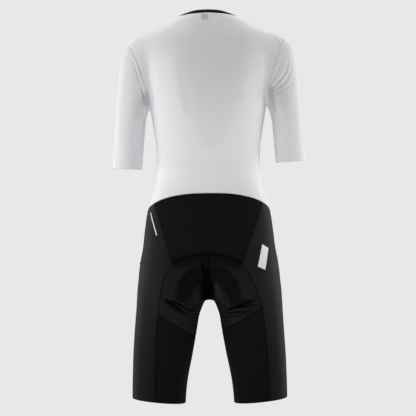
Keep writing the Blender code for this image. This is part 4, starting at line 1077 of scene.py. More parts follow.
@dataclass
class Relief:
    """Everything that moves the cloth off the figure, and the light and shade painted into its colour.

    That is the shoulder blades, the seat pad, the creases and the puckered stitching. Many zones move nothing
    and only hold painted shade or painted light; creases paint shade in their troughs and light on their
    ridges, and dents paint shade.
    """

    swellings: tuple[Swelling, ...] = (
        Swelling((66.0, 100.0, -110.0), (46.0, 60.0, 62.0), 2.6),
        Swelling((-68.0, 100.0, -106.0), (46.0, 60.0, 62.0), 2.6),
        Swelling((62.0, 60.0, -797.0), (9.0, 16.0, 7.0), 1.3),
        Swelling((-40.0, 38.0, -777.0), (9.0, 16.0, 7.0), 1.2),
    )
    # Painted light and shade: the seat darker along its arch, over the pad, under its lobes, in the folds and
    # most in the middle groove, with lighter lobes; the armpits, the middle of the back, the bands beside the
    # shoulder blades and the right armhole darker; the lower back and the flanks lighter.
    zones: tuple[Zone, ...] = (
        Zone(((76, 109, -613), (42, 109, -604), (5, 108, -601), (-31, 109, -605), (-65, 110, -616)),
             (12, 14, 15, 14, 12), 9.0, 0.42),
        Zone(((15, 104, -628), (41, 107, -638), (60, 107, -666), (70, 98, -698)),
             (11, 16, 19, 14), 7.0, 0.34, 0.5),
        Zone(((-7, 103, -628), (-31, 106, -634), (-53, 107, -660), (-65, 98, -694)),
             (9, 14, 18, 14), 7.0, 0.38, 0.5),
        Zone(((-28, 29, -740), (-50, 70, -736), (-74, 86, -733), (-100, 90, -730)),
             (8, 10, 12, 8), 8.0, 0.72),
        Zone(((106, 97, -703), (87, 97, -712), (70, 89, -722)), (5, 9, 8), 7.0, 0.2, -0.8),
        Zone(((-57, 86, -716), (-79, 96, -711), (-101, 98, -708)), (8, 10, 6), 7.0, 0.16, -0.8),
        Zone(((12, 104, -640), (33, 92, -680), (43, 79, -712)), (12, 21, 22), 7.0, 0.34),
        Zone(((-8, 104, -640), (-30, 90, -680), (-41, 78, -712)), (12, 22, 22), 7.0, 0.34),
        Zone(((29, 95, -668), (37, 84, -690), (43, 77, -709)), (4, 13, 16), 3.5, 0.78, 2.2),
        Zone(((34, 76, -694), (35, 68, -707)), (5, 7), 8.0, 1.45),
        Zone(((-18, 92, -664), (-29, 81, -688), (-40, 76, -708)), (7, 14, 15), 3.5, 0.9, 2.4),
        Zone(((-17, 88, -668), (-23, 75, -690), (-31, 70, -708)), (3, 6, 6), 7.0, 1.7),
        Zone(((8, 108, -606), (8, 104, -625), (6, 95, -650), (4, 82, -672), (4, 59, -696)),
             (0, 3, 10, 16, 17), 7.0, 0.02, -2.4),
        Zone(((166, 34, -212), (176, 28, -244)), (14, 12), 14.0, 0.84),
        Zone(((152, 34, -201), (152, 22, -223)), (4, 5), 9.0, 0.6),
        Zone(((-14, 84, -66), (-14, 96, -150), (-10, 92, -230), (-6, 88, -300)),
             (72, 72, 62, 36), 18.0, 0.955),
        Zone(((-14, 84, -66), (-14, 96, -150), (-12, 92, -210)), (58, 56, 36), 30.0, 0.935),
        Zone(((66, 72, -62), (68, 86, -142), (60, 88, -200), (52, 88, -250)), (6, 9, 8, 3), 12.0, 0.9),
        Zone(((-84, 73, -54), (-86, 85, -150), (-76, 82, -210)), (8, 8, 4), 17.0, 0.93),
        Zone(((-112, 62, -100), (-122, 56, -150), (-124, 52, -196)), (12, 14, 8), 18.0, 0.9),
        Zone(((-139, 62, -85), (-144, 55, -119)), (12, 12), 14.0, 0.93),
        Zone(((118, 32, -392), (60, 66, -400), (-48, 68, -400), (-112, 36, -392)),
             (18, 18, 18, 18), 30.0, 1.06),
        Zone(((132, 14, -285), (129, 12, -345), (127, 14, -395)), (8, 9, 8), 14.0, 1.12),
        Zone(((-128, 14, -262), (-125, 12, -330), (-126, 14, -395)), (8, 8, 8), 14.0, 1.1),
        Zone(((155, 36, -196), (160, 32, -214)), (6, 6), 9.0, 0.6),
        Zone(((-178, 40, -188), (-186, 36, -226)), (14, 12), 14.0, 0.86),
        Zone(((-158, 38, -186), (-161, 32, -208), (-166, 26, -236)), (7, 7, 4), 9.0, 0.6),
    )
    creases: tuple[Crease, ...] = (
        Crease(((2, 107, -612), (2, 99, -640), (1, 84, -670), (1, 62, -693)), 1.6, 2.6, 0.0, 0.1),
        Crease(((21, 108, -607), (15, 105, -623), (11, 99, -642)), 1.3, 3.0, 0.3),
        Crease(((62, 95, -672), (64, 88, -694), (62, 84, -712), (50, 76, -727), (34, 54, -731)),
               0.8, 2.4, 0.0),
        Crease(((-42, 96, -664), (-54, 88, -690), (-60, 86, -708), (-50, 80, -722)), 0.8, 2.4, 0.0),
        Crease(((113, 101, -696), (92, 97, -713), (68, 85, -729), (48, 66, -740)), 2.4, 2.6, 0.9, 0.2),
        Crease(((104, 102, -697), (81, 97, -710), (63, 85, -722)), 1.8, 2.6, 0.7),
        Crease(((65, 87, -722), (48, 71, -731), (27, 40, -730)), 2.0, 2.4, 0.8, 0.2),
        Crease(((113, 98, -706), (94, 94, -721), (70, 84, -734), (48, 63, -745), (31, 32, -747)),
               1.1, 2.6, 0.9),
        Crease(((96, 100, -704), (80, 93, -718), (66, 86, -727)), 1.3, 2.2, 0.8),
        Crease(((60, 78, -735), (44, 62, -738), (30, 38, -738)), 1.2, 2.4, 0.9),
        Crease(((-28, 29, -740), (-50, 70, -736), (-74, 86, -733), (-107, 90, -732)), 1.8, 2.4, 0.8, 0.2),
        Crease(((-34, 50, -735), (-58, 83, -723), (-82, 95, -714), (-119, 98, -699)), 2.2, 2.6, 0.8, 0.15),
        Crease(((-58, 82, -725), (-82, 93, -720), (-115, 95, -714), (-127, 92, -711)), 1.8, 2.4, 0.9),
        Crease(((-28, 26, -745), (-50, 66, -745), (-77, 84, -741)), 1.0, 2.4, 0.9),
        Crease(((-84, 99, -706), (-104, 101, -699), (-122, 98, -694)), 1.3, 2.2, 0.8),
        Crease(((-62, 88, -716), (-80, 97, -707), (-98, 100, -702)), 1.2, 2.0, 0.7),
        Crease(((-159, 39, -187), (-171, 46, -173), (-186, 48, -153), (-196, 46, -133), (-199, 44, -108)),
               1.5, 2.3, 0.8, 0.25, 1.6),
        Crease(((-161, 39, -194), (-176, 46, -182), (-193, 46, -165), (-203, 42, -143), (-206, 39, -118)),
               1.3, 2.3, 0.8, 0.25, 1.6),
        Crease(((-156, 42, -172), (-166, 48, -153), (-178, 51, -129), (-184, 51, -104)),
               1.2, 2.3, 0.8, 0.25, 1.6),
        Crease(((-159, 36, -202), (-181, 45, -192), (-201, 42, -177), (-214, 33, -157)),
               0.9, 2.4, 0.8, 0.25, 1.2),
        Crease(((187, 45, -98), (180, 50, -124), (172, 49, -152), (163, 45, -182), (153, 38, -208)),
               1.2, 2.4, 0.9),
        Crease(((166, 44, -180), (160, 42, -198), (152, 34, -216)), 1.6, 3.2, 0.4, 0.2, 3.0),
        Crease(((138, -62, -196), (150, -52, -170), (164, -44, -140), (170, -38, -118)), 1.8, 4.2),
        Crease(((-136, -62, -198), (-148, -54, -172), (-162, -46, -144), (-170, -38, -120)), 1.6, 4.2),
        Crease(((118, -78, -214), (134, -66, -204), (147, -50, -200)), 1.2, 4.5),
        Crease(((-116, -78, -212), (-132, -66, -203), (-146, -50, -199)), 1.2, 4.5),
        Crease(((38, -84, -672), (70, -80, -664), (104, -68, -652), (134, -50, -640)), 1.8, 4.6),
        Crease(((-36, -84, -674), (-68, -80, -667), (-102, -68, -656), (-133, -50, -645)), 1.6, 4.6),
        Crease(((30, -74, -694), (62, -74, -692), (98, -70, -684)), 1.2, 4.4),
        Crease(((-30, -74, -696), (-60, -74, -694), (-96, -70, -687)), 1.2, 4.4),
    )
    puckers: tuple[Puckers, ...] = (
        Puckers(((27, 106, -624), (43, 109, -626), (57, 111, -636), (69, 111, -654), (78, 109, -670),
                 (84, 105, -687), (86, 102, -697)), 5.6, 3.0, 1.0, 1.3),
        Puckers(((3, 105, -618), (-18, 106, -619), (-34, 107, -625), (-50, 110, -638), (-64, 110, -656),
                 (-74, 108, -674), (-78, 105, -687), (-82, 99, -703)), 5.6, 3.0, 1.0, 1.3),
    )

    def summed(self, points: Array, normals: Array, weight: Callable[[object], float]) -> Array:
        """The forms' reliefs at each point of a grid, each times its weight."""
        flat, up = points.reshape(-1, 3), normals.reshape(-1, 3)
        out = np.zeros(len(flat))
        for form in (*self.swellings, *self.zones, *self.creases, *self.puckers):
            if weight(form):
                out += weight(form) * form.relief(flat, up)
        return out.reshape(points.shape[:-1])

    def __call__(self, points: Array, normals: Array) -> Array:
        """How far the cloth stands out at each point of a grid."""
        return self.summed(points, normals, lambda form: 1.0)

    def tone(self, points: Array, normals: Array, contrast: float) -> Array:
        """The painted light and shade at each point of a grid: zones in turn bring their own level, then
        creases and dents add theirs.
        """
        flat, up = points.reshape(-1, 3), normals.reshape(-1, 3)
        level = np.ones(len(flat))
        for zone in self.zones:
            level += zone.share(flat, up) * (zone.level - level)
        creased = contrast * self.summed(points, normals, lambda form: form.tone)
        return np.clip(level.reshape(points.shape[:-1]) + creased, 0.03, 1.9)


def put_mesh(
    name: str, points: Array, quads: Array, chart: Array | None = None, shade: Array | None = None,
) -> bpy.types.Object:
    """A mesh object from arrays, in millimetres.

    Args:
        name: The piece's name.
        points: An (n, 3) array of millimetres.
        quads: An (m, 4) array of vertex numbers.
        chart: The flat place of each vertex in metres, for the UV map, if it has one.
        shade: The painted light and shade of each vertex, for the attribute "shade", if it has one.

    Returns:
        The object, at the origin, smooth with sharp edges past 45 degrees.
    """
    mesh = bpy.data.meshes.new(name)
    mesh.vertices.add(len(points))
    mesh.vertices.foreach_set("co", (points * METRE).astype(np.float32).ravel())
    mesh.loops.add(quads.size)
    mesh.loops.foreach_set("vertex_index", quads.astype(np.int32).ravel())
    mesh.polygons.add(len(quads))
    mesh.polygons.foreach_set("loop_start", np.arange(0, quads.size, 4, dtype=np.int32))
    mesh.polygons.foreach_set("loop_total", np.full(len(quads), 4, np.int32))
    mesh.update(calc_edges=True)
    mesh.validate()
    if chart is not None:
        layer = mesh.uv_layers.new(name="cloth")
        corners = np.zeros(len(mesh.loops), np.int32)
        mesh.loops.foreach_get("vertex_index", corners)
        layer.data.foreach_set("uv", chart[corners].astype(np.float32).ravel())
    if shade is not None:
        mesh.attributes.new("shade", "FLOAT", "POINT").data.foreach_set("value", shade.astype(np.float32))
    mesh.shade_smooth()
    mesh.set_sharp_from_angle(angle=math.radians(45.0))
    item = bpy.data.objects.new(name, mesh)
    bpy.context.scene.collection.objects.link(item)
    return item


def swept(paths: Array, across: Array, up: Array, profile: Array) -> tuple[Array, Array]:
    """Closed bars: every path carries the profile p + a across + b up, and both ends are capped.

    Args:
        paths: (n, m, 3), m points for each of n bars.
        across: (n, m, 3), the profile's first axis at each point, or (n, 1, 3) where a bar has just one.
        up: The second axis, in the same way.
        profile: (k, 2), a closed outline with an even number of points, anticlockwise seen along the path.

    Returns:
        The vertices and the quads.
    """
    bars, steps, sides = paths.shape[0], paths.shape[1], len(profile)
    a, b = profile[:, 0][None, None, :, None], profile[:, 1][None, None, :, None]
    points = paths[:, :, None] + a * across[:, :, None] + b * up[:, :, None]
    index = np.arange(bars * steps * sides).reshape(bars, steps, sides)
    here, there = index[:, :-1], index[:, 1:]
    walls = np.stack((here, there, np.roll(there, -1, 2), np.roll(here, -1, 2)), axis=-1).reshape(-1, 4)
    caps = []
    for corner in range((sides - 2) // 2):
        turn = [0, 2 * corner + 1, 2 * corner + 2, 2 * corner + 3]
        caps.append(index[:, 0][:, turn])
        caps.append(index[:, -1][:, turn[::-1]])
    return points.reshape(-1, 3), np.concatenate([walls] + caps)


def round_profile(radius: float, sides: int = 6, flat: float = 1.0) -> Array:
    """An oval outline: (r cos t, r flat sin t)."""
    turn = 2 * math.pi * np.arange(sides) / sides
    return np.stack((radius * np.cos(turn), radius * flat * np.sin(turn)), axis=1)


def closed_shell(inner: Array, outer: Array, normals: Array) -> tuple[Array, Array]:
    """The thin closed body between two grids: both faces, and a rim round them.

    Args:
        inner: The grid of the face towards the wearer.
        outer: The grid of the face outwards.
        normals: The figure's normals, which tell the faces which way is out.

    Returns:
        The vertices, inner ones first, and the quads.
    """
    rows, cols = inner.shape[:2]
    index = np.arange(rows * cols).reshape(rows, cols)
    corners = index[:-1, :-1], index[1:, :-1], index[1:, 1:], index[:-1, 1:]
    sheet = np.stack(corners, axis=-1).reshape(-1, 4)
    flat = outer.reshape(-1, 3)
    sides = np.cross(flat[sheet[:, 2]] - flat[sheet[:, 0]], flat[sheet[:, 3]] - flat[sheet[:, 1]])
    rim = np.concatenate((index[:, 0], index[-1, 1:], index[-2::-1, -1], index[0, -2:0:-1]))
    if (sides * normals.reshape(-1, 3)[sheet[:, 0]]).sum() < 0:
        sheet, rim = sheet[:, ::-1], rim[::-1]
    after, half = np.roll(rim, -1), rows * cols
    wall = np.stack((rim, rim + half, after + half, after), axis=1)[:, ::-1]
    return np.concatenate((inner.reshape(-1, 3), flat)), np.concatenate((sheet[:, ::-1], sheet + half, wall))


def put_shell(
    name: str, inner: Array, outer: Array, normals: Array, chart: Array, shade: Array | None = None,
) -> bpy.types.Object:
    """A closed shell's object, whose two faces share a chart in millimetres and their painted shading."""
    points, quads = closed_shell(inner, outer, normals)
    flat = np.tile(chart.reshape(-1, 2) * METRE, (2, 1))
    return put_mesh(name, points, quads, flat, None if shade is None else np.tile(shade.ravel(), 2))


def gathered(parts: Iterable[tuple[Array, Array]]) -> tuple[Array, Array]:
    """The vertices and quads of several meshes as one mesh's."""
    points, quads, total = [], [], 0
    for some_points, some_quads in parts:
        points.append(some_points)
        quads.append(some_quads + total)
        total += len(some_points)
    return np.concatenate(points), np.concatenate(quads)


def drawn_in(grid: Array, normals: Array, amount: float) -> Array:
    """The grid with its whole edge moved in along the cloth, so that neighbours stand twice this apart."""
    rows, cols = grid.shape[:2]
    down, across = np.arange(rows), np.arange(cols)
    r = np.concatenate((down, np.full(cols - 1, rows - 1), down[-2::-1], np.zeros(cols - 2, int)))
    c = np.concatenate((np.zeros(rows, int), across[1:], np.full(rows - 1, cols - 1), across[-2:0:-1]))
    ring, up = grid[r, c], normals[r, c]
    along = unit(np.roll(ring, -1, axis=0) - ring)
    following = unit(np.cross(along, up))
    before = np.roll(following, 1, axis=0)
    within = grid[np.clip(r, 1, rows - 2), np.clip(c, 1, cols - 2)]
    if ((within - ring) * (following + before)).sum() < 0:
        following, before = -following, -before
    both = (following * before).sum(axis=1, keepdims=True)
    moved = grid.copy()
    moved[r, c] = ring + amount * (following + before) / np.maximum(1.0 + both, 0.3)
    return moved


class Edge(Enum):
    """An edge of a cut piece's grid."""

    TOP = "first row"
    BOTTOM = "last row"
    LEFT = "first column"
    RIGHT = "last column"


@dataclass(frozen=True)
class Make:
    """How cloth is built: where the grid gets extra lines near an edge, and how edges are shaped."""

    near_edge: tuple[float, ...] = (0.12, 0.3, 0.6)
    seam_gap: float = 0.3
    seam_dip: float = 0.62
    seam_reach: float = 1.7
    hem_dip: float = 0.75
    hem_reach: float = 0.7

    def stations(self, cells: int, coarse_after: int | None = None) -> Array:
        """Places of the grid's lines in fine cells: one a cell, more near both edges.

        Args:
            cells: The number of fine cells.
            coarse_after: The cell from which only every second line is kept.

        Returns:
            The places, rising.
        """
        whole = np.arange(cells + 1, dtype=float)
        if coarse_after is not None:
            whole = whole[(whole <= coarse_after) | (whole % 2 == 0)]
        near = np.array(self.near_edge)
        return np.unique(np.concatenate((whole, near, cells - near, [float(cells)])))

    def reach(self, grid: Array) -> dict[Edge, Array]:
        """How far each point of a grid lies from each edge, along the cloth."""
        down = np.linalg.norm(np.diff(grid, axis=0), axis=2)
        down = np.concatenate((np.zeros((1, grid.shape[1])), np.cumsum(down, axis=0)))
        across = np.linalg.norm(np.diff(grid, axis=1), axis=2)
        across = np.concatenate((np.zeros((grid.shape[0], 1)), np.cumsum(across, axis=1)), axis=1)
        return {
            Edge.TOP: down, Edge.BOTTOM: down[-1] - down,
            Edge.LEFT: across, Edge.RIGHT: across[:, -1:] - across,
        }

    def dip(self, reach: dict[Edge, Array], hems: frozenset[Edge], wall: float) -> Array:
        """How far the outer face sinks by the edges: wall dip exp(-(s / reach)^2), the most of all edges."""
        sunk = [
            (self.hem_dip if edge in hems else self.seam_dip)
            * np.exp(-((far / (self.hem_reach if edge in hems else self.seam_reach)) ** 2))
            for edge, far in reach.items()
        ]
        return wall * np.max(sunk, axis=0)


@dataclass
class Cut:
    """A cut piece of cloth before it is built."""

    name: str
    edges: Edges
    wall: float
    finish: str
    fine: tuple[int, int] = (6, 6)
    hems: frozenset[Edge] = frozenset()
    coarse_after: int | None = None
    across_more: int = 1
    ribs: bool = False
    limb: Side | None = None
    faint: frozenset[Edge] = frozenset()


class Panel:
    """A cut piece of cloth on the figure, as two faces a wall apart."""

    # the share of the painted seam shade that a faint seam keeps
    faint_seam = 0.3

    def __init__(self, suit: "Suit", cut: Cut) -> None:
        """Lay the piece on the figure and give it its thickness.

        Args:
            suit: The suit that the piece belongs to.
            cut: What is cut.
        """
        self.cut = cut
        make, figure = suit.make, suit.figure
        grid = laid(figure, cut.edges, suit.dense, cut.fine)
        rows = make.stations(grid.shape[0] - 1, cut.coarse_after)
        cells = grid.shape[1] - 1
        cols = make.stations(cells)
        if cut.across_more > 1:
            cols = np.linspace(0.0, cells, cells * cut.across_more + 1)
        by_rows, by_cols = linear_weights(grid.shape[0] - 1, rows), linear_weights(grid.shape[1] - 1, cols)
        grid = np.einsum("ia,jb,abk->ijk", by_rows, by_cols, grid, optimize=True)
        self.normals = figure.normals(grid)
        reach = make.reach(grid)
        lift = suit.relief(grid, self.normals)
        self.inner = drawn_in(grid, self.normals, make.seam_gap / 2) + lift[..., None] * self.normals
        height = cut.wall - make.dip(reach, cut.hems, cut.wall)
        if cut.ribs:
            height = height + suit.ribs.height(grid, reach)
        self.outer = self.inner + height[..., None] * self.normals
        self.chart = self.charted(grid, reach) if cut.limb is None else figure.unrolled(grid, cut.limb)
        self.shade = self.shaded(suit, grid, reach)
        self.area = self.cloth_area(grid)

    @staticmethod
    def charted(grid: Array, reach: dict[Edge, Array]) -> Array:
        """The flat place of each point: half the difference of the ways to two opposite edges, each way."""
        u = (reach[Edge.LEFT] - reach[Edge.RIGHT]) / 2
        v = reach[Edge.BOTTOM].mean(axis=1, keepdims=True) + 0 * u
        return np.stack((u, v), axis=-1)

    def shaded(self, suit: "Suit", grid: Array, reach: dict[Edge, Array]) -> Array:
        """The cloth's painted light and shade, 1 where it is plain: painted shade in creases and beside the
        sunken seams, painted light on ridges.

        The share is tone (1 - seam exp(-(s / w)^2)) fade, s from the nearest seam. The fade is
        painted shade that darkens the cloth downwards: 1 at the seat's height, falling to the cloth's share
        at the hem.
        """
        finish = suit.tones[self.cut.finish]
        beside = np.max([
            np.exp(-((far / finish.seam_width) ** 2)) * (self.faint_seam if edge in self.cut.faint else 1.0)
            for edge, far in reach.items() if edge not in self.cut.hems
        ], axis=0)
        fade = 1.0 - (1.0 - finish.hem) * smoothstep(-finish.fade_from, -finish.fade_to, -grid[..., 2])
        return suit.relief.tone(grid, self.normals, finish.contrast) * (1.0 - finish.seam * beside) * fade

    @staticmethod
    def cloth_area(grid: Array) -> float:
        """The area of a grid: half the length of the cross product of each cell's diagonals, summed."""
        one = grid[1:, 1:] - grid[:-1, :-1]
        two = grid[1:, :-1] - grid[:-1, 1:]
        return float(np.linalg.norm(np.cross(one, two), axis=2).sum() / 2)

    def build(self) -> bpy.types.Object:
        """The panel's mesh object, with its flat chart as the UV map."""
        name = f"cloth_{self.cut.name}"
        return put_shell(name, self.inner, self.outer, self.normals, self.chart, self.shade)


@dataclass(frozen=True)
class Tone:
    """How much painted light and shade a cloth takes: on creases and dents (contrast), beside a seam (seam,
    over seam_width), and towards the hem, darkening to the share hem between fade_from and fade_to.
    """

    contrast: float
    seam: float
    seam_width: float = 1.6
    hem: float = 1.0
    fade_from: float = -630.0
    fade_to: float = -860.0


@dataclass(frozen=True)
class Ribbing:
    """Knitted ribs up the cloth: height (0.5 + 0.5 cos(2 pi u / pitch)) ^ 0.7, level at the edges."""

    pitch: float = 2.6
    height_of_rib: float = 0.34
    clear: float = 3.0

    def height(self, grid: Array, reach: dict[Edge, Array]) -> Array:
        """How far each point of a grid stands out."""
        across = grid[..., 0]
        wave = (0.5 + 0.5 * np.cos(2 * math.pi * across / self.pitch)) ** 0.7
        edge = np.min(list(reach.values()), axis=0)
        return self.height_of_rib * wave * smoothstep(0.8, self.clear, edge)


@dataclass
class Suit:
    """The suit's cloth: every cut piece, the seams between them, and what is sewn on."""

    dense: int = 12
    top_wall: float = 1.2
    shorts_wall: float = 1.5
    collar_wall: float = 1.8
    figure: Figure = field(default_factory=Figure)
    pattern: Pattern = field(default_factory=Pattern)
    relief: Relief = field(default_factory=Relief)
    make: Make = field(default_factory=Make)
    ribs: Ribbing = field(default_factory=Ribbing)
    # the painted light and shade of each shaded finish
    tones: dict[str, Tone] = field(default_factory=lambda: {
        "white_knit": Tone(0.03, 0.08, 1.2), "sleeve_mesh": Tone(0.04, 0.08, 1.2),
        "satin_knit": Tone(0.25, 0.35, 1.4, 0.5), "seat_knit": Tone(0.42, 0.95),
        "thigh_knit": Tone(0.3, 0.9), "ribbed_knit": Tone(0.3, 0.9, 2.2),
    })
    panels: dict[str, Panel] = field(default_factory=dict)

    def __post_init__(self) -> None:
        """Draw the seams."""
        self.seams = Seams(self.figure, self.pattern, self.dense)

    def cuts(self) -> Iterable[Cut]:
        """Every cut piece of the top and the shorts."""
        left, right, centre = self.seams.curves[Side.LEFT], self.seams.curves[Side.RIGHT], self.seams.centre
        top = joined(left["shoulder"][::-1], left["neck_back"][::-1], right["neck_back"], right["shoulder"])
        bottom = joined(
            left["waist_side"][::-1], left["waist_yoke"][::-1], right["waist_yoke"], right["waist_side"],
        )
        flanks = [joined(curves["armhole_back"], curves["side"]) for curves in (left, right)]
        yield Cut("back_panel", Edges(top, bottom, *flanks), self.top_wall, "white_knit", (6, 6))
        for side in Side:
            curves, word = self.seams.curves[side], side.word
            top = joined(curves["shoulder"][::-1], curves["neck_front"])
            flank = joined(curves["armhole_front"], curves["side"])
            edges = Edges(top, curves["waist_top_front"], flank, curves["zip"])
            yield Cut(f"front_{word}", edges, self.top_wall, "white_knit", (6, 6))
            ring = joined(curves["armhole_back"][::-1], curves["armhole_front"])
            edges = Edges(ring, curves["cuff"], curves["underarm"], curves["underarm"])
            hem = frozenset({Edge.BOTTOM})
            yield Cut(
                f"sleeve_{word}", edges, self.top_wall, "sleeve_mesh", (12, 6), hem,
                coarse_after=60, limb=side,
            )
            rear = joined(curves["arch"], curves["rear_top"])
            edges = Edges(rear, curves["inner_top"], centre["crotch"], curves["thigh"])
            faint = frozenset({Edge.RIGHT})
            yield Cut(f"seat_{word}", edges, self.shorts_wall, "seat_knit", (12, 12), faint=faint)
            edges = Edges(curves["thigh"], curves["hem_inner"], curves["rear_low"], curves["inner_low"])
            faint = frozenset({Edge.TOP})
            yield Cut(f"thigh_{word}", edges, self.shorts_wall, "thigh_knit", (6, 6), hem, faint=faint)
            top = joined(curves["waist_side"], curves["waist_front"])
            rear = joined(curves["yoke_side"], curves["rear_top"], curves["rear_low"])
            front = joined(centre["front_rise"], curves["inner_top"], curves["inner_low"])
            edges = Edges(top, curves["hem_outer"], rear, front)
            yield Cut(f"outer_{word}", edges, self.shorts_wall, "satin_knit", (6, 6), hem)
        top = joined(left["waist_yoke"][::-1], right["waist_yoke"])
        bottom = joined(left["arch"][::-1], right["arch"])
        edges = Edges(top, bottom, left["yoke_side"], right["yoke_side"])
        faint = frozenset({Edge.LEFT, Edge.RIGHT})
        yield Cut(
            "yoke", edges, self.shorts_wall, "ribbed_knit", (3, 12), across_more=4, ribs=True, faint=faint,
        )


class Trim:
    """A thin piece that lies on a panel: its points are the panel's outer face moved out."""

    def __init__(self, suit: Suit, name: str, grid: Array, ground: float, gap: float, wall: float) -> None:
        """Lay the piece.

        Args:
            suit: The suit that carries it.
            name: The piece's name.
            grid: Points on the figure.
            ground: The thickness of the panel under it.
            gap: How far it stands off the panel.
            wall: Its own thickness.
        """
        self.name = name
        normals = suit.figure.normals(grid)
        lift = suit.relief(grid, normals) + ground + gap
        reach = suit.make.reach(grid)
        edge = np.min(list(reach.values()), axis=0)
        thick = wall * (0.45 + 0.55 * smoothstep(0.0, 0.8, edge))
        self.inner = grid + lift[..., None] * normals
        self.outer = self.inner + thick[..., None] * normals
        self.normals = normals
        self.chart = Panel.charted(grid, reach)

    def build(self) -> bpy.types.Object:
        """The piece's mesh object."""
        name, shade = f"trim_{self.name}", np.ones(self.chart.shape[:2])
        return put_shell(name, self.inner, self.outer, self.normals, self.chart, shade)


def ribbon(figure: Figure, path: Table, half: float, steps: int, across: int) -> Array:
    """A strip's grid: points along a path on the figure, moved sideways by -half to half."""
    line = figure.settled(smooth_path(np.asarray(path, float), steps), 4, arms=False)
    line = figure.settled(respaced(line, steps), 2, arms=False)
    _, sideways, _ = figure.axes(line)
    spread = np.linspace(-half, half, across + 1)
    return line[:, None] + spread[None, :, None] * sideways[:, None]


@dataclass
class Trims:
    """The label, the two pale hip marks and the pocket's welt."""

    label_span: tuple[float, float, float, float] = (14.2, -1.6, -2.2, -15.2)
    label_points: tuple[int, int] = (21, 25)
    stripe: Table = ((142.7, 31.2, -490.2), (135.6, 50.0, -517.0), (127.8, 67.2, -545.4))
    stripe_half: float = 1.3
    tab: Table = ((-135.5, 66.0, -575.0), (-131.5, 84.0, -601.0), (-124.5, 97.0, -628.0))
    tab_half: float = 10.5
    welt: Table = (
        (139.0, 88.0, -616.5), (152.0, 71.0, -613.0), (163.0, 45.0, -615.0), (168.5, 10.0, -617.0),
        (166.0, -25.0, -620.0),
    )
    welt_half: float = 2.2
    welt_wall: float = 1.0
    gap: float = 0.4
    wall: float = 0.5

    def label_grid(self, suit: Suit) -> Array:
        """The label's points on the figure's back."""
        left, right, top, bottom = self.label_span
        rows, cols = self.label_points
        across, down = np.meshgrid(np.linspace(left, right, cols), np.linspace(top, bottom, rows))
        return suit.seams.from_behind(across.ravel(), down.ravel()).reshape(rows, cols, 3)

    def trims(self, suit: Suit) -> Iterable[tuple[Trim, str]]:
        """Every small piece, and the name of its finish."""
        figure, top, shorts = suit.figure, suit.top_wall, suit.shorts_wall
        stripe = ribbon(figure, self.stripe, self.stripe_half, steps=110, across=8)
        tab = ribbon(figure, self.tab, self.tab_half, steps=60, across=24)
        welt = ribbon(figure, self.welt, self.welt_half, steps=120, across=8)
        yield Trim(suit, "neck_label", self.label_grid(suit), top, self.gap, self.wall), "label_cloth"
        yield Trim(suit, "reflective_stripe", stripe, shorts, self.gap, self.wall), "pale_film"
        yield Trim(suit, "reflective_tab", tab, shorts, self.gap, self.wall), "pale_film"
        yield Trim(suit, "pocket_welt", welt, shorts, self.gap, self.welt_wall), "satin_knit"


@dataclass
class Collar:
    """The low collar band, the black roll that covers its seam, and the white rolled binding below it."""

    wall: float = 1.8
    rows: int = 10

    def rings(self, suit: Suit) -> Array:
        """The collar's grid: rows from its top edge down to the neck seam."""
        count = suit.pattern.count["collar"] * suit.dense
        rows = []
        for row in np.linspace(count, 0, self.rows + 1).round().astype(int):
            tail = f"_{row}" if row else ""
            halves = [
                joined(curves["neck_back" + tail], curves["neck_front" + tail])
                for curves in suit.seams.curves.values()
            ]
            rows.append(joined(halves[0][::-1], halves[1]))
        return np.array(rows)

    def band(self, suit: Suit) -> bpy.types.Object:
        """The band's mesh: a wall that is round at its top edge."""
        grid = self.rings(suit)[:, ::2]
        normals = suit.figure.normals(grid)
        reach = suit.make.reach(grid)
        inner = drawn_in(grid, normals, suit.make.seam_gap / 2)
        round_top = 0.55 * self.wall * np.exp(-((reach[Edge.TOP] / 0.9) ** 2))
        sunk = 0.5 * self.wall * np.exp(-((reach[Edge.BOTTOM] / 1.2) ** 2))
        outer = inner + (self.wall - round_top - sunk)[..., None] * normals
        return put_shell("collar_band", inner, outer, normals, Panel.charted(grid, reach))

    @staticmethod
    def roll(suit: Suit, name: str, drop: float, droop: float, half: float, rise: float) -> bpy.types.Object:
        """A roll of cloth: a low oval swept round the neck, below its seam.

        Args:
            suit: The suit.
            name: The piece's name.
            drop: How far below the seam it lies at the middle of the back.
            droop: How much further down it lies at the sides of the neck.
            half: Half its width.
            rise: Half its height.

        Returns:
            The roll's object.
        """
        halves = [joined(c["neck_back"], c["neck_front"]) for c in suit.seams.curves.values()]
        line = respaced(joined(halves[0][::-1], halves[1]), 330)[2:-2]
        normals = suit.figure.normals(line)
        along = unit(np.gradient(line, axis=0))
        down = unit(np.cross(along, normals))
        down *= np.where(down[:, 2:3] > 0, -1.0, 1.0)
        fall = drop + droop * smoothstep(3.0, 26.0, np.abs(line[:, 0]))
        line = suit.figure.settled(line + fall[:, None] * down, 3)
        normals = suit.figure.normals(line)
        along = unit(np.gradient(line, axis=0))
        across = np.cross(normals, along)
        seat = line + (suit.top_wall - 0.1) * normals
        profile = round_profile(half, 14, rise / half)
        return put_mesh(name, *swept(seat[None], across[None], normals[None], profile))


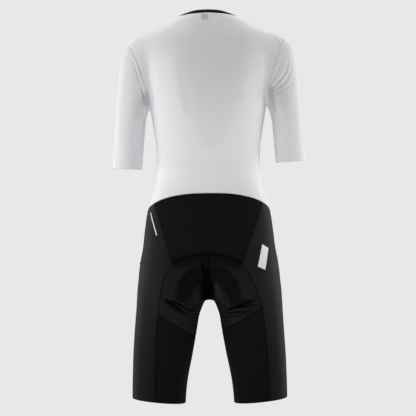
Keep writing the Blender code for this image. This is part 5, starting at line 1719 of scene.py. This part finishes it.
@dataclass
class Flatlock:
    """Flat seams: threads side by side across each join, and one cord that fills the join."""

    pitch: float = 2.3
    half: float = 1.9
    radius: float = 0.26
    steps: int = 5
    cord_step: float = 2.5
    cord_half: float = 0.32

    def seams(self, suit: Suit) -> Iterable[tuple[str, Array, float]]:
        """Every seam's thread colour, line and cloth thickness."""
        for side, c in suit.seams.curves.items():
            yield "white", joined(c["armhole_back"][::-1], c["armhole_front"]), suit.top_wall
            yield "white", c["shoulder"], suit.top_wall
            yield "white", c["underarm"], suit.top_wall
            yield "white", c["side"], suit.top_wall
            waist = joined(c["waist_yoke"], c["waist_side"], c["waist_front"])
            yield "black", waist, (suit.top_wall + suit.shorts_wall) / 2
            for name in ("yoke_side", "arch", "thigh", "inner_top", "inner_low"):
                yield "black", c[name], suit.shorts_wall
            yield "black", joined(c["rear_top"], c["rear_low"]), suit.shorts_wall
        for name in ("crotch", "front_rise"):
            yield "black", suit.seams.centre[name], suit.shorts_wall

    def threads(self, suit: Suit, line: Array, wall: float) -> tuple[Array, Array]:
        """The threads across one seam.

        Each thread is an arch over the join, as high as wall - dip(s) + 0.1 - 0.22 (|s| / half)^6.

        Args:
            suit: The suit that is sewn.
            line: The seam's points.
            wall: The cloth's thickness at the seam.

        Returns:
            Vertices and quads.
        """
        length = arc_lengths(line)[-1]
        count = max(int(length / self.pitch), 2)
        seam = respaced(line, 2 * count)[1::2]
        along, across, normals = suit.figure.axes(seam)
        lift = suit.relief(seam, normals)
        s = np.linspace(-self.half, self.half, self.steps)
        make = suit.make
        sunk = wall * make.seam_dip * np.exp(-((s / make.seam_reach) ** 2))
        height = wall - sunk + 0.1 - 0.22 * (np.abs(s) / self.half) ** 6
        slant = 0.25 * s[None, :, None] * along[:, None]
        spine = seam[:, None] + s[None, :, None] * across[:, None] + slant
        spine = spine + (height[None] + lift[:, None])[..., None] * normals[:, None]
        return swept(spine, along[:, None], normals[:, None], round_profile(self.radius, 4))

    def cord(self, suit: Suit, line: Array, wall: float) -> tuple[Array, Array]:
        """The cord in the join: an upright oval swept along it, half the wall high."""
        seam = respaced(line, max(int(arc_lengths(line)[-1] / self.cord_step), 4))
        _, across, up = suit.figure.axes(seam)
        seam = seam + (suit.relief(seam, up) + 0.3 * wall)[:, None] * up
        profile = round_profile(self.cord_half, 4, 0.25 * wall / self.cord_half)
        return swept(seam[None], across[None], up[None], profile)

    def build(self, suit: Suit) -> dict[str, bpy.types.Object]:
        """One mesh for all the thread of each colour."""
        made = {}
        for colour in ("white", "black"):
            sewn = [
                sew(suit, line, wall)
                for thread, line, wall in self.seams(suit) if thread == colour
                for sew in (self.threads, self.cord)
            ]
            made[colour] = put_mesh(f"seam_threads_{colour}", *gathered(sewn))
        return made


@dataclass
class Lattice:
    """A sleeve's raised diamond knit: fine ribs along u + z = k pitch and u - z = k pitch, u = r phi."""

    pitch: float = 12.5
    halves: dict[Side, tuple[float, float]] = field(default_factory=lambda: {
        Side.LEFT: (0.85, 0.85), Side.RIGHT: (0.85, 0.3),
    })
    rise: float = 0.42
    pulled_flat: float = 0.11
    clear: float = 3.5
    clear_top: float = 11.0
    points: int = 66
    tries: int = 700
    least: int = 12

    def build(self, suit: Suit, side: Side) -> bpy.types.Object:
        """The ribs of one sleeve as one mesh.

        A rib is cast from the arm's axis onto the cloth, and runs from the cuff up to the armhole. It takes
        the sleeve's painted light and shade, and painted shade darkens it towards the cells' tone over the
        outer arm, where the side light falls full on the sleeve.

        Args:
            suit: The suit.
            side: Which sleeve.

        Returns:
            The ribs' object.
        """
        figure, panel = suit.figure, suit.panels[f"sleeve_{side.word}"]
        top, cuff = panel.chart[0], panel.chart[-1]
        order = np.argsort(top[:, 0]), np.argsort(cuff[:, 0])
        ends = math.pi * figure.arm_radius - self.clear
        v = np.linspace(cuff[:, 1].min(), top[:, 1].max(), self.tries)
        limit = int((ends + np.abs(v).max()) / self.pitch) + 1
        made, shades = [], []
        for slope, half in zip((1.0, -1.0), self.halves[side]):
            runs = []
            for place in np.arange(-limit, limit + 1) * self.pitch:
                u = place - slope * v
                high = np.interp(u, top[order[0], 0], top[order[0], 1]) - self.clear_top
                low = np.interp(u, cuff[order[1], 0], cuff[order[1], 1]) + self.clear
                inside = (np.abs(u) < ends) & (v < high) & (v > low)
                if inside.sum() > self.least:
                    steps = np.linspace(v[inside][0], v[inside][-1], self.points)
                    runs.append(np.stack((place - slope * steps, steps), axis=1))
            flat = np.array(runs)
            turn, z = flat[..., 0] / figure.arm_radius, flat[..., 1]
            x, y = figure.arm_middle(z, side)
            axis = columns(x, y, z)
            away = columns(side.value * np.cos(turn), np.sin(turn), 0.0)
            far = axis + suit.seams.arm_ray * away
            spine = figure.cast(axis.reshape(-1, 3), far.reshape(-1, 3)).reshape(axis.shape)
            up = figure.normals(spine)
            spine = spine + (suit.relief(spine, up) + suit.top_wall)[..., None] * up
            across = np.cross(up, unit(np.gradient(spine, axis=1)))
            height, inset = self.rise * half, 0.45 * half
            profile = np.array(((-half, -0.25), (half, -0.25), (inset, height), (-inset, height)))
            made.append(swept(spine, across, up, profile))
            tone = suit.relief.tone(spine, up, suit.tones["sleeve_mesh"].contrast)
            # painted shade: the ribs darker, towards the cells' tone, over the brightly lit outer arm
            tone = tone * (1.0 - self.pulled_flat * smoothstep(0.3, 0.8, np.cos(turn)))
            shades.append(np.repeat(tone.ravel(), len(profile)))
        return put_mesh(f"diamond_ribs_{side.word}", *gathered(made), shade=np.concatenate(shades))


@dataclass
class PadStitching:
    """The zigzag thread that holds the seat pad: s(a) = half tri(a / pitch) beside each arc."""

    pitch: float = 5.6
    half: float = 2.3
    radius: float = 0.3

    def thread(self, suit: Suit, arc: Puckers) -> tuple[Array, Array]:
        """The vertices and quads of one arc's thread."""
        figure = suit.figure
        line = figure.settled(smooth_path(np.asarray(arc.path, float), 200), 4, arms=False)
        turns = int(arc_lengths(line)[-1] / (self.pitch / 2))
        line = respaced(line, turns)
        _, across, _ = figure.axes(line)
        swing = self.half * np.where(np.arange(len(line)) % 2 == 0, 1.0, -1.0)
        corners = line + swing[:, None] * across
        path = figure.settled(respaced(corners, 6 * turns), 2, arms=False)
        up = figure.normals(path)
        lift = suit.relief(path, up) + suit.shorts_wall + 0.05
        path = path + lift[:, None] * up
        side = unit(np.cross(up, unit(np.gradient(path, axis=0))))
        return swept(path[None], side[None], up[None], round_profile(self.radius, 6))

    def build(self, suit: Suit) -> bpy.types.Object:
        """The thread of both arcs as one mesh."""
        return put_mesh("pad_stitching", *gathered(self.thread(suit, arc) for arc in suit.relief.puckers))


@dataclass
class Zip:
    """The centre-front zip: a tape and the coil on it."""

    pitch: float = 1.5
    tape_wall: float = 1.0
    tooth_half: float = 2.2
    tooth_radius: float = 0.5

    def middle(self, suit: Suit) -> tuple[Array, Array]:
        """The two edges of the chain, from the top of the collar down to the waist."""
        collar = Collar().rings(suit)
        edges = [
            joined(collar[:, end], suit.seams.curves[side]["zip"])
            for end, side in ((0, Side.LEFT), (-1, Side.RIGHT))
        ]
        return edges[0], edges[1]

    def tape(self, suit: Suit) -> bpy.types.Object:
        """The tape's mesh: a plain wall, eight cells across."""
        one, two = (respaced(edge, 180) for edge in self.middle(suit))
        share = np.linspace(0.0, 1.0, 9)[None, :, None]
        grid = one[:, None] * (1 - share) + two[:, None] * share
        normals = suit.figure.normals(grid)
        inner = drawn_in(grid, normals, suit.make.seam_gap / 2)
        outer = inner + self.tape_wall * normals
        return put_shell("zip_tape", inner, outer, normals, Panel.charted(grid, suit.make.reach(grid)))

    def coil(self, suit: Suit) -> bpy.types.Object:
        """The coil's mesh: slanting loops from side to side, one every pitch."""
        one, two = self.middle(suit)
        line = respaced((respaced(one, 400) + respaced(two, 400)) / 2, 1600)
        seat = respaced(line, int(arc_lengths(line)[-1] / self.pitch))[1:-1]
        along, across, normals = suit.figure.axes(seat)
        s = np.linspace(-1.0, 1.0, 7)
        arch = np.sqrt(np.maximum(1.0 - (s / 1.06) ** 2, 0.0))
        slant = np.where(np.arange(len(seat)) % 2 == 0, 0.35, -0.35)
        spine = seat[:, None] + (self.tooth_half * s)[None, :, None] * across[:, None]
        spine = spine + (slant[:, None] * s[None] * self.pitch)[..., None] * along[:, None]
        spine = spine + (self.tape_wall + 0.15 + arch)[None, :, None] * normals[:, None]
        loops = swept(spine, along[:, None], normals[:, None], round_profile(self.tooth_radius, 6))
        return put_mesh("zip_coil", *loops)


class Tree:
    """A node tree, with short ways to fill it."""

    def __init__(self, tree: bpy.types.NodeTree) -> None:
        """Start on a tree."""
        self.tree = tree

    def node(self, kind: str, **settings: object) -> bpy.types.Node:
        """A new node with some of its properties set."""
        node = self.tree.nodes.new(kind)
        for name, value in settings.items():
            setattr(node, name, value)
        return node

    def join(self, source: bpy.types.NodeSocket, target: bpy.types.NodeSocket) -> None:
        """Link an output to an input."""
        self.tree.links.new(source, target)

    def feed(self, target: bpy.types.NodeSocket, value: object) -> None:
        """Give an input a link or a plain value."""
        if isinstance(value, bpy.types.NodeSocket):
            self.join(value, target)
        elif value is not None:
            target.default_value = value

    def math(self, operation: str, *values: object, clamp: bool = False) -> bpy.types.NodeSocket:
        """The result of a Math node on sockets or numbers."""
        node = self.node("ShaderNodeMath", operation=operation, use_clamp=clamp)
        for target, value in zip(node.inputs, values):
            self.feed(target, value)
        return node.outputs[0]

    def mix(self, share: object, first: object, second: object) -> bpy.types.NodeSocket:
        """A colour between two colours."""
        node = self.node("ShaderNodeMix", data_type="RGBA")
        self.feed(node.inputs["Factor"], share)
        for target, value in ((node.inputs[6], first), (node.inputs[7], second)):
            self.feed(target, value)
        return node.outputs[2]

    def noise(self, vector: object, scale: float, detail: float = 2.0) -> bpy.types.NodeSocket:
        """A noise value about 0.5."""
        node = self.node("ShaderNodeTexNoise")
        self.feed(node.inputs["Vector"], vector)
        node.inputs["Scale"].default_value = scale
        node.inputs["Detail"].default_value = detail
        return node.outputs["Fac"]


def new_group(
    name: str, inputs: dict[str, str], outputs: dict[str, str],
) -> tuple[Tree, bpy.types.Node, bpy.types.Node]:
    """An empty shader node group with named sockets.

    Args:
        name: The group's name.
        inputs: Each input's name and socket type.
        outputs: Each output's name and socket type.

    Returns:
        The group's tree, its input node and its output node.
    """
    group = bpy.data.node_groups.new(name, "ShaderNodeTree")
    for sockets, way in ((inputs, "INPUT"), (outputs, "OUTPUT")):
        for socket, kind in sockets.items():
            group.interface.new_socket(name=socket, in_out=way, socket_type=kind)
    tree = Tree(group)
    return tree, tree.node("NodeGroupInput"), tree.node("NodeGroupOutput")


class Effects:
    """The node groups that several finishes share."""

    def __init__(self) -> None:
        """Build every group once."""
        self.knit = self.build_knit()
        self.stretch = self.build_stretch()
        self.diamonds = self.build_diamonds()

    @staticmethod
    def build_knit() -> bpy.types.NodeTree:
        """Rows of knitted loops: (1 - w^2) (0.6 + 0.4 cos(2 pi (c + w/2))), w across a wale, c up courses."""
        tree, source, target = new_group(
            "knit loops",
            {"Flat": "NodeSocketVector", "Wales": "NodeSocketFloat", "Courses": "NodeSocketFloat"},
            {"Height": "NodeSocketFloat", "Shade": "NodeSocketFloat"},
        )
        split = tree.node("ShaderNodeSeparateXYZ")
        tree.join(source.outputs["Flat"], split.inputs[0])
        wale = tree.math("MULTIPLY", split.outputs[0], source.outputs["Wales"])
        course = tree.math("MULTIPLY", split.outputs[1], source.outputs["Courses"])
        centred = tree.math("SUBTRACT", tree.math("FRACT", wale), 0.5)
        across = tree.math("MULTIPLY", tree.math("ABSOLUTE", centred), 2.0)
        rounded = tree.math("SUBTRACT", 1.0, tree.math("MULTIPLY", across, across))
        turn = tree.math("ADD", course, tree.math("MULTIPLY", across, 0.5))
        phase = tree.math("MULTIPLY", turn, 2 * math.pi)
        wave = tree.math("ADD", tree.math("MULTIPLY", tree.math("COSINE", phase), 0.4), 0.6)
        height = tree.math("MULTIPLY", rounded, wave)
        tree.join(height, target.inputs["Height"])
        # painted shade: the loops' crowns lighter and the gaps between them darker
        shade = tree.math("ADD", tree.math("MULTIPLY", height, 0.5), 0.5, clamp=True)
        tree.join(shade, target.inputs["Shade"])
        return tree.tree

    @staticmethod
    def build_stretch() -> bpy.types.NodeTree:
        """Slow changes of tone where cloth is stretched more or less, and a fine fibre fuzz."""
        tree, source, target = new_group(
            "stretched cloth",
            {"Place": "NodeSocketVector"},
            {"Tone": "NodeSocketFloat", "Fuzz": "NodeSocketFloat"},
        )
        slow = tree.noise(source.outputs["Place"], 9.0, 3.0)
        fine = tree.noise(source.outputs["Place"], 900.0, 2.0)
        grain = tree.noise(source.outputs["Place"], 260.0, 3.0)
        parts = tree.math("MULTIPLY", slow, 0.65), tree.math("MULTIPLY", grain, 0.35)
        tone = tree.math("ADD", *parts, clamp=True)
        tree.join(tone, target.inputs["Tone"])
        tree.join(fine, target.inputs["Fuzz"])
        return tree.tree

    @staticmethod
    def build_diamonds() -> bpy.types.NodeTree:
        """A mask that is 0 on the lines u + v = k pitch and u - v = k pitch and 1 inside the diamonds."""
        tree, source, target = new_group(
            "diamond knit",
            {"Flat": "NodeSocketVector", "Pitch": "NodeSocketFloat"},
            {"Cell": "NodeSocketFloat"},
        )
        split = tree.node("ShaderNodeSeparateXYZ")
        tree.join(source.outputs["Flat"], split.inputs[0])
        masks = []
        for operation in ("ADD", "SUBTRACT"):
            line = tree.math(operation, split.outputs[0], split.outputs[1])
            turn = tree.math("FRACT", tree.math("DIVIDE", line, source.outputs["Pitch"]))
            off = tree.math("SUBTRACT", 0.5, tree.math("ABSOLUTE", tree.math("SUBTRACT", turn, 0.5)))
            masks.append(tree.math("MULTIPLY", off, 7.0, clamp=True))
        tree.join(tree.math("MULTIPLY", *masks), target.inputs["Cell"])
        return tree.tree


@dataclass(frozen=True)
class Finish:
    """A cloth finish: two tones of one colour, its gloss, and the size of its knit."""

    name: str
    slot: str
    dark: tuple[float, float, float]
    light: tuple[float, float, float]
    rough: float
    sheen: float
    wales: float
    courses: float
    loop_height: float
    specular: float = 0.5
    fuzz_height: float = 0.00003
    charted: bool = True
    metal: float = 0.0
    cell: tuple[float, float, float] | None = None
    cell_pitch: float = 0.0125
    # whether the colour takes the painted light and shade held in the attribute shade
    shaded: bool = False

    def material(self, effects: Effects) -> bpy.types.Material:
        """The finish as a material.

        Args:
            effects: The shared node groups.

        Returns:
            The material, with colour and bump from the groups and every constant on the shader itself.
        """
        material = bpy.data.materials.new(self.name)
        material.use_nodes = True
        tree = Tree(material.node_tree)
        shader = material.node_tree.nodes["Principled BSDF"]
        place = tree.node("ShaderNodeTexCoord").outputs["Object"]
        flat = place
        if self.charted:
            flat = tree.node("ShaderNodeUVMap", uv_map="cloth").outputs["UV"]
        stretch = tree.node("ShaderNodeGroup", node_tree=effects.stretch)
        tree.join(place, stretch.inputs["Place"])
        knit = tree.node("ShaderNodeGroup", node_tree=effects.knit)
        tree.join(flat, knit.inputs["Flat"])
        knit.inputs["Wales"].default_value = self.wales
        knit.inputs["Courses"].default_value = self.courses
        # the colour mixes the cloth's random tone with the knit's painted loop shade
        share = tree.math("MULTIPLY", stretch.outputs["Tone"], knit.outputs["Shade"], clamp=True)
        colour = tree.mix(share, (*self.dark, 1.0), (*self.light, 1.0))
        if self.cell is not None:
            diamonds = tree.node("ShaderNodeGroup", node_tree=effects.diamonds)
            tree.join(flat, diamonds.inputs["Flat"])
            diamonds.inputs["Pitch"].default_value = self.cell_pitch
            colour = tree.mix(diamonds.outputs["Cell"], colour, (*self.cell, 1.0))
        if self.shaded:
            # painted light and shade: the colour is scaled by the vertex attribute shade
            shade = tree.node("ShaderNodeAttribute", attribute_name="shade", attribute_type="GEOMETRY")
            scaled = tree.node("ShaderNodeVectorMath", operation="SCALE")
            tree.join(colour, scaled.inputs[0])
            tree.join(shade.outputs["Fac"], scaled.inputs["Scale"])
            colour = scaled.outputs[0]
        tree.join(colour, shader.inputs["Base Color"])
        loops = tree.node("ShaderNodeBump")
        loops.inputs["Strength"].default_value = 0.6
        loops.inputs["Distance"].default_value = self.loop_height
        tree.join(knit.outputs["Height"], loops.inputs["Height"])
        fuzz = tree.node("ShaderNodeBump")
        fuzz.inputs["Strength"].default_value = 0.5
        fuzz.inputs["Distance"].default_value = self.fuzz_height
        tree.join(stretch.outputs["Fuzz"], fuzz.inputs["Height"])
        tree.join(loops.outputs["Normal"], fuzz.inputs["Normal"])
        tree.join(fuzz.outputs["Normal"], shader.inputs["Normal"])
        uneven = tree.math("MULTIPLY", stretch.outputs["Tone"], 0.12)
        rough = tree.math("ADD", uneven, self.rough - 0.06, clamp=True)
        tree.join(rough, shader.inputs["Roughness"])
        shader.inputs["Sheen Weight"].default_value = self.sheen
        shader.inputs["Sheen Roughness"].default_value = 0.45
        shader.inputs["Specular IOR Level"].default_value = self.specular
        shader.inputs["Metallic"].default_value = self.metal
        return material


FINISHES = (
    Finish(
        "white_knit", "white_cloth", (0.798, 0.79, 0.815), (0.868, 0.86, 0.885),
        0.8, 0.15, 900, 1100, 0.00008, 0.3, shaded=True,
    ),
    Finish(
        "sleeve_mesh", "white_cloth", (0.79, 0.782, 0.805), (0.85, 0.842, 0.865),
        0.8, 0.15, 1100, 1100, 0.0001, 0.3, cell=(0.76, 0.752, 0.776), shaded=True,
    ),
    Finish(
        "rib_knit", "white_cloth", (0.855, 0.847, 0.87), (0.915, 0.907, 0.93),
        0.75, 0.1, 2500, 2500, 0.00003, 0.3, charted=False, shaded=True,
    ),
    Finish(
        "white_thread", "white_cloth", (0.84, 0.832, 0.855), (0.91, 0.902, 0.925),
        0.7, 0.1, 2500, 2500, 0.00003, 0.3, charted=False,
    ),
    Finish(
        "satin_knit", "black_cloth", (0.0096, 0.0093, 0.0108), (0.0150, 0.0146, 0.0168),
        0.62, 0.012, 1300, 1500, 0.00004, 0.06, shaded=True,
    ),
    Finish(
        "seat_knit", "black_cloth", (0.0102, 0.0098, 0.0112), (0.014, 0.0135, 0.0153),
        0.8, 0.0, 1200, 1300, 0.00005, 0.02, shaded=True,
    ),
    Finish(
        "thigh_knit", "black_cloth", (0.0042, 0.004, 0.0046), (0.0066, 0.0063, 0.0073),
        0.8, 0.004, 1100, 1200, 0.00006, 0.04, shaded=True,
    ),
    Finish(
        "ribbed_knit", "black_cloth", (0.0056, 0.0053, 0.0061), (0.0086, 0.0082, 0.0094),
        0.8, 0.004, 1000, 1100, 0.00006, 0.04, shaded=True,
    ),
    Finish(
        "collar_knit", "collar_cloth", (0.003, 0.003, 0.0034), (0.006, 0.006, 0.0065),
        0.7, 0.02, 1000, 1100, 0.00006, 0.15,
    ),
    Finish(
        "black_thread", "black_cloth", (0.0014, 0.0014, 0.0016), (0.003, 0.003, 0.0034),
        0.8, 0.0, 2500, 2500, 0.00003, 0.03, charted=False,
    ),
    Finish(
        "pad_thread", "black_cloth", (0.0095, 0.0092, 0.0105), (0.0165, 0.016, 0.0183),
        0.6, 0.02, 2500, 2500, 0.00003, 0.2, charted=False,
    ),
    Finish("label_cloth", "label", (0.52, 0.52, 0.53), (0.6, 0.6, 0.61), 0.7, 0.1, 2200, 2200, 0.00005, 0.3),
    Finish(
        "pale_film", "reflective", (0.72, 0.73, 0.74), (0.84, 0.84, 0.85),
        0.35, 0.0, 1600, 1600, 0.00002,
    ),
    Finish(
        "zip_tape_cloth", "zip_plastic", (0.6, 0.6, 0.61), (0.7, 0.7, 0.71),
        0.7, 0.1, 1400, 1400, 0.00006, 0.3,
    ),
    Finish(
        "zip_coil_plastic", "zip_plastic", (0.66, 0.66, 0.67), (0.74, 0.74, 0.75),
        0.38, 0.0, 2500, 2500, 0.00001, charted=False,
    ),
    Finish(
        "zip_enamel", "zip_metal", (0.33, 0.33, 0.34), (0.45, 0.45, 0.46),
        0.32, 0.0, 1500, 1500, 0.00001, charted=False, metal=0.85,
    ),
)


@dataclass(frozen=True)
class Lamp:
    """A soft rectangular light."""

    name: str
    place: tuple[float, float, float]
    size: tuple[float, float]
    power: float
    aim: tuple[float, float, float] = (0.0, 0.0, -0.4)


@dataclass(frozen=True)
class Studio:
    """The floor, the lights, the backdrop's tone and the camera."""

    backdrop: float = 0.807
    floor_height: float = -1.3
    floor_radius: float = 1.1
    eye: tuple[float, float, float] = (0.002, 4.0, -0.479)
    frame_half: float = 0.520
    roll: float = 0.44
    lamps: tuple[Lamp, ...] = (
        Lamp("side_left", (1.9, 0.0, -0.4), (1.0, 1.8), 9.0),
        Lamp("side_right", (-1.9, 0.0, -0.4), (1.0, 1.8), 13.5),
        Lamp("back_left", (1.7, 0.95, -0.4), (0.8, 1.8), 3.5),
        Lamp("rim_left", (1.6, -1.1, -0.3), (0.8, 1.8), 18.0),
        Lamp("rim_right", (-1.6, -1.1, -0.3), (0.8, 1.8), 19.5),
        Lamp("low_left", (1.5, 0.9, -1.1), (1.0, 0.6), 10.5),
        Lamp("low_right", (-1.5, 0.9, -1.1), (1.0, 0.6), 7.7),
        Lamp("low_back", (0.0, 1.6, -1.5), (1.2, 0.4), 15.0),
        Lamp("top", (0.0, 0.2, 1.3), (1.6, 1.0), 7.2, (0.0, 0.0, -0.2)),
        Lamp("top_front", (0.0, -0.45, 1.3), (1.6, 0.8), 6.3, (0.0, 0.0, -0.2)),
        Lamp("top_left", (1.1, 0.3, 0.9), (0.6, 0.8), 8.1, (0.0, 0.0, -0.2)),
        Lamp("top_right", (-1.1, 0.3, 0.9), (0.6, 0.8), 5.6, (0.0, 0.0, -0.2)),
    )

    def build(self, effects: Effects) -> None:
        """Put everything in the scene."""
        self.build_floor(effects)
        self.build_world()
        for lamp in self.lamps:
            self.build_lamp(lamp)
        self.build_camera()
        bpy.context.scene.view_settings.view_transform = "Standard"

    def build_floor(self, effects: Effects) -> None:
        """A plain round floor."""
        form = bmesh.new()
        bmesh.ops.create_circle(form, cap_ends=True, segments=96, radius=self.floor_radius,
                                matrix=Matrix.Translation((0.0, 0.0, self.floor_height)))
        mesh = bpy.data.meshes.new("floor")
        form.to_mesh(mesh)
        form.free()
        floor = bpy.data.objects.new("floor", mesh)
        bpy.context.scene.collection.objects.link(floor)
        finish = Finish(
            "floor_paper", "", (0.7, 0.7, 0.7), (0.78, 0.78, 0.78), 0.85, 0.0, 50, 50, 0.0, charted=False,
        )
        floor.data.materials.append(finish.material(effects))
        floor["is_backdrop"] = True

    def build_world(self) -> None:
        """An even backdrop that only the camera sees; it lights nothing."""
        world = bpy.data.worlds.new("studio")
        world.use_nodes = True
        bpy.context.scene.world = world
        tree = Tree(world.node_tree)
        back = world.node_tree.nodes["Background"]
        path = tree.node("ShaderNodeLightPath")
        level = tree.math("MULTIPLY", path.outputs["Is Camera Ray"], self.backdrop)
        tree.join(level, back.inputs["Strength"])
        back.inputs["Color"].default_value = (1.0, 1.0, 1.0, 1.0)

    @staticmethod
    def build_lamp(lamp: Lamp) -> None:
        """Hang one light."""
        data = bpy.data.lights.new(lamp.name, "AREA")
        data.shape = "RECTANGLE"
        data.size, data.size_y = lamp.size
        data.energy = lamp.power
        item = bpy.data.objects.new(lamp.name, data)
        item.location = lamp.place
        item.rotation_euler = (Vector(lamp.aim) - Vector(lamp.place)).to_track_quat("-Z", "Y").to_euler()
        bpy.context.scene.collection.objects.link(item)

    def build_camera(self) -> None:
        """The camera looks level towards -y and sees frame_half to either side at the origin's depth."""
        data = bpy.data.cameras.new("camera")
        data.sensor_fit = "HORIZONTAL"
        data.angle = 2 * math.atan(self.frame_half / self.eye[1])
        data.clip_end = 30.0
        item = bpy.data.objects.new("camera", data)
        item.location = self.eye
        item.rotation_euler = (math.radians(90.0), math.radians(self.roll), math.radians(180.0))
        bpy.context.scene.collection.objects.link(item)
        bpy.context.scene.camera = item


@dataclass(frozen=True)
class Sheet:
    """What a maker says of a cut piece: its flat size, cut smaller than it is worn."""

    shrink: float = 0.94

    def declare(self, piece: bpy.types.Object, panel: Panel) -> None:
        """Say the piece's flat size: its longest lines either way, cut smaller by the stretch."""
        reach = Make().reach(panel.inner)
        width = float(reach[Edge.RIGHT].max()) * METRE * self.shrink
        length = float(reach[Edge.BOTTOM].max()) * METRE * self.shrink
        area = min(panel.area * METRE**2 * self.shrink**2, width * length)
        LOG.info("%s: cut %.0f x %.0f mm, %.4f m2", piece.name, width / METRE, length / METRE, area)


def dress(piece: bpy.types.Object, finish: Finish, material: bpy.types.Material) -> None:
    """Give a piece its material and its body."""
    piece.data.materials.clear()
    piece.data.materials.append(material)
    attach(piece, SUIT)


def main() -> None:
    """Build the suit and the studio."""
    logging.basicConfig(level=logging.INFO, format="%(message)s")
    effects = Effects()
    looks = {finish.name: (finish, finish.material(effects)) for finish in FINISHES}
    suit = Suit()
    sheet = Sheet()

    for cut in suit.cuts():
        panel = Panel(suit, cut)
        suit.panels[cut.name] = panel
        piece = panel.build()
        dress(piece, *looks[cut.finish])
        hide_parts(cut.name)
        sheet.declare(piece, panel)
        LOG.info("built %s", piece.name)

    collar = Collar()
    band = collar.band(suit)
    dress(band, *looks["collar_knit"])
    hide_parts("collar")
    roll = collar.roll(suit, "collar_roll", drop=1.0, droop=0.4, half=1.5, rise=1.0)
    dress(roll, *looks["collar_knit"])
    binding = collar.roll(suit, "neck_binding", drop=3.4, droop=1.2, half=2.1, rise=0.9)
    dress(binding, *looks["white_thread"])

    for trim, name in Trims().trims(suit):
        piece = trim.build()
        dress(piece, *looks[name])
        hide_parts(trim.name)

    for colour, piece in Flatlock().build(suit).items():
        dress(piece, *looks[f"{colour}_thread"])
    lattice = Lattice()
    for side in Side:
        dress(lattice.build(suit, side), *looks["rib_knit"])
    dress(PadStitching().build(suit), *looks["pad_thread"])

    fastening = Zip()
    tape = fastening.tape(suit)
    dress(tape, *looks["zip_tape_cloth"])
    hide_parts("zip_chain")
    dress(fastening.coil(suit), *looks["zip_coil_plastic"])
    for node in ("zip_slider", "zip_pull"):
        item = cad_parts[node]
        item.data.materials.clear()
        item.data.materials.append(looks["zip_enamel"][1])

    Studio().build(effects)
    boxes = {"cad": CAD_BOX, "visual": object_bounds()}
    {name: [[float(x) for x in corner] for corner in box] for name, box in boxes.items()}


if __name__ == "__main__":
    main()
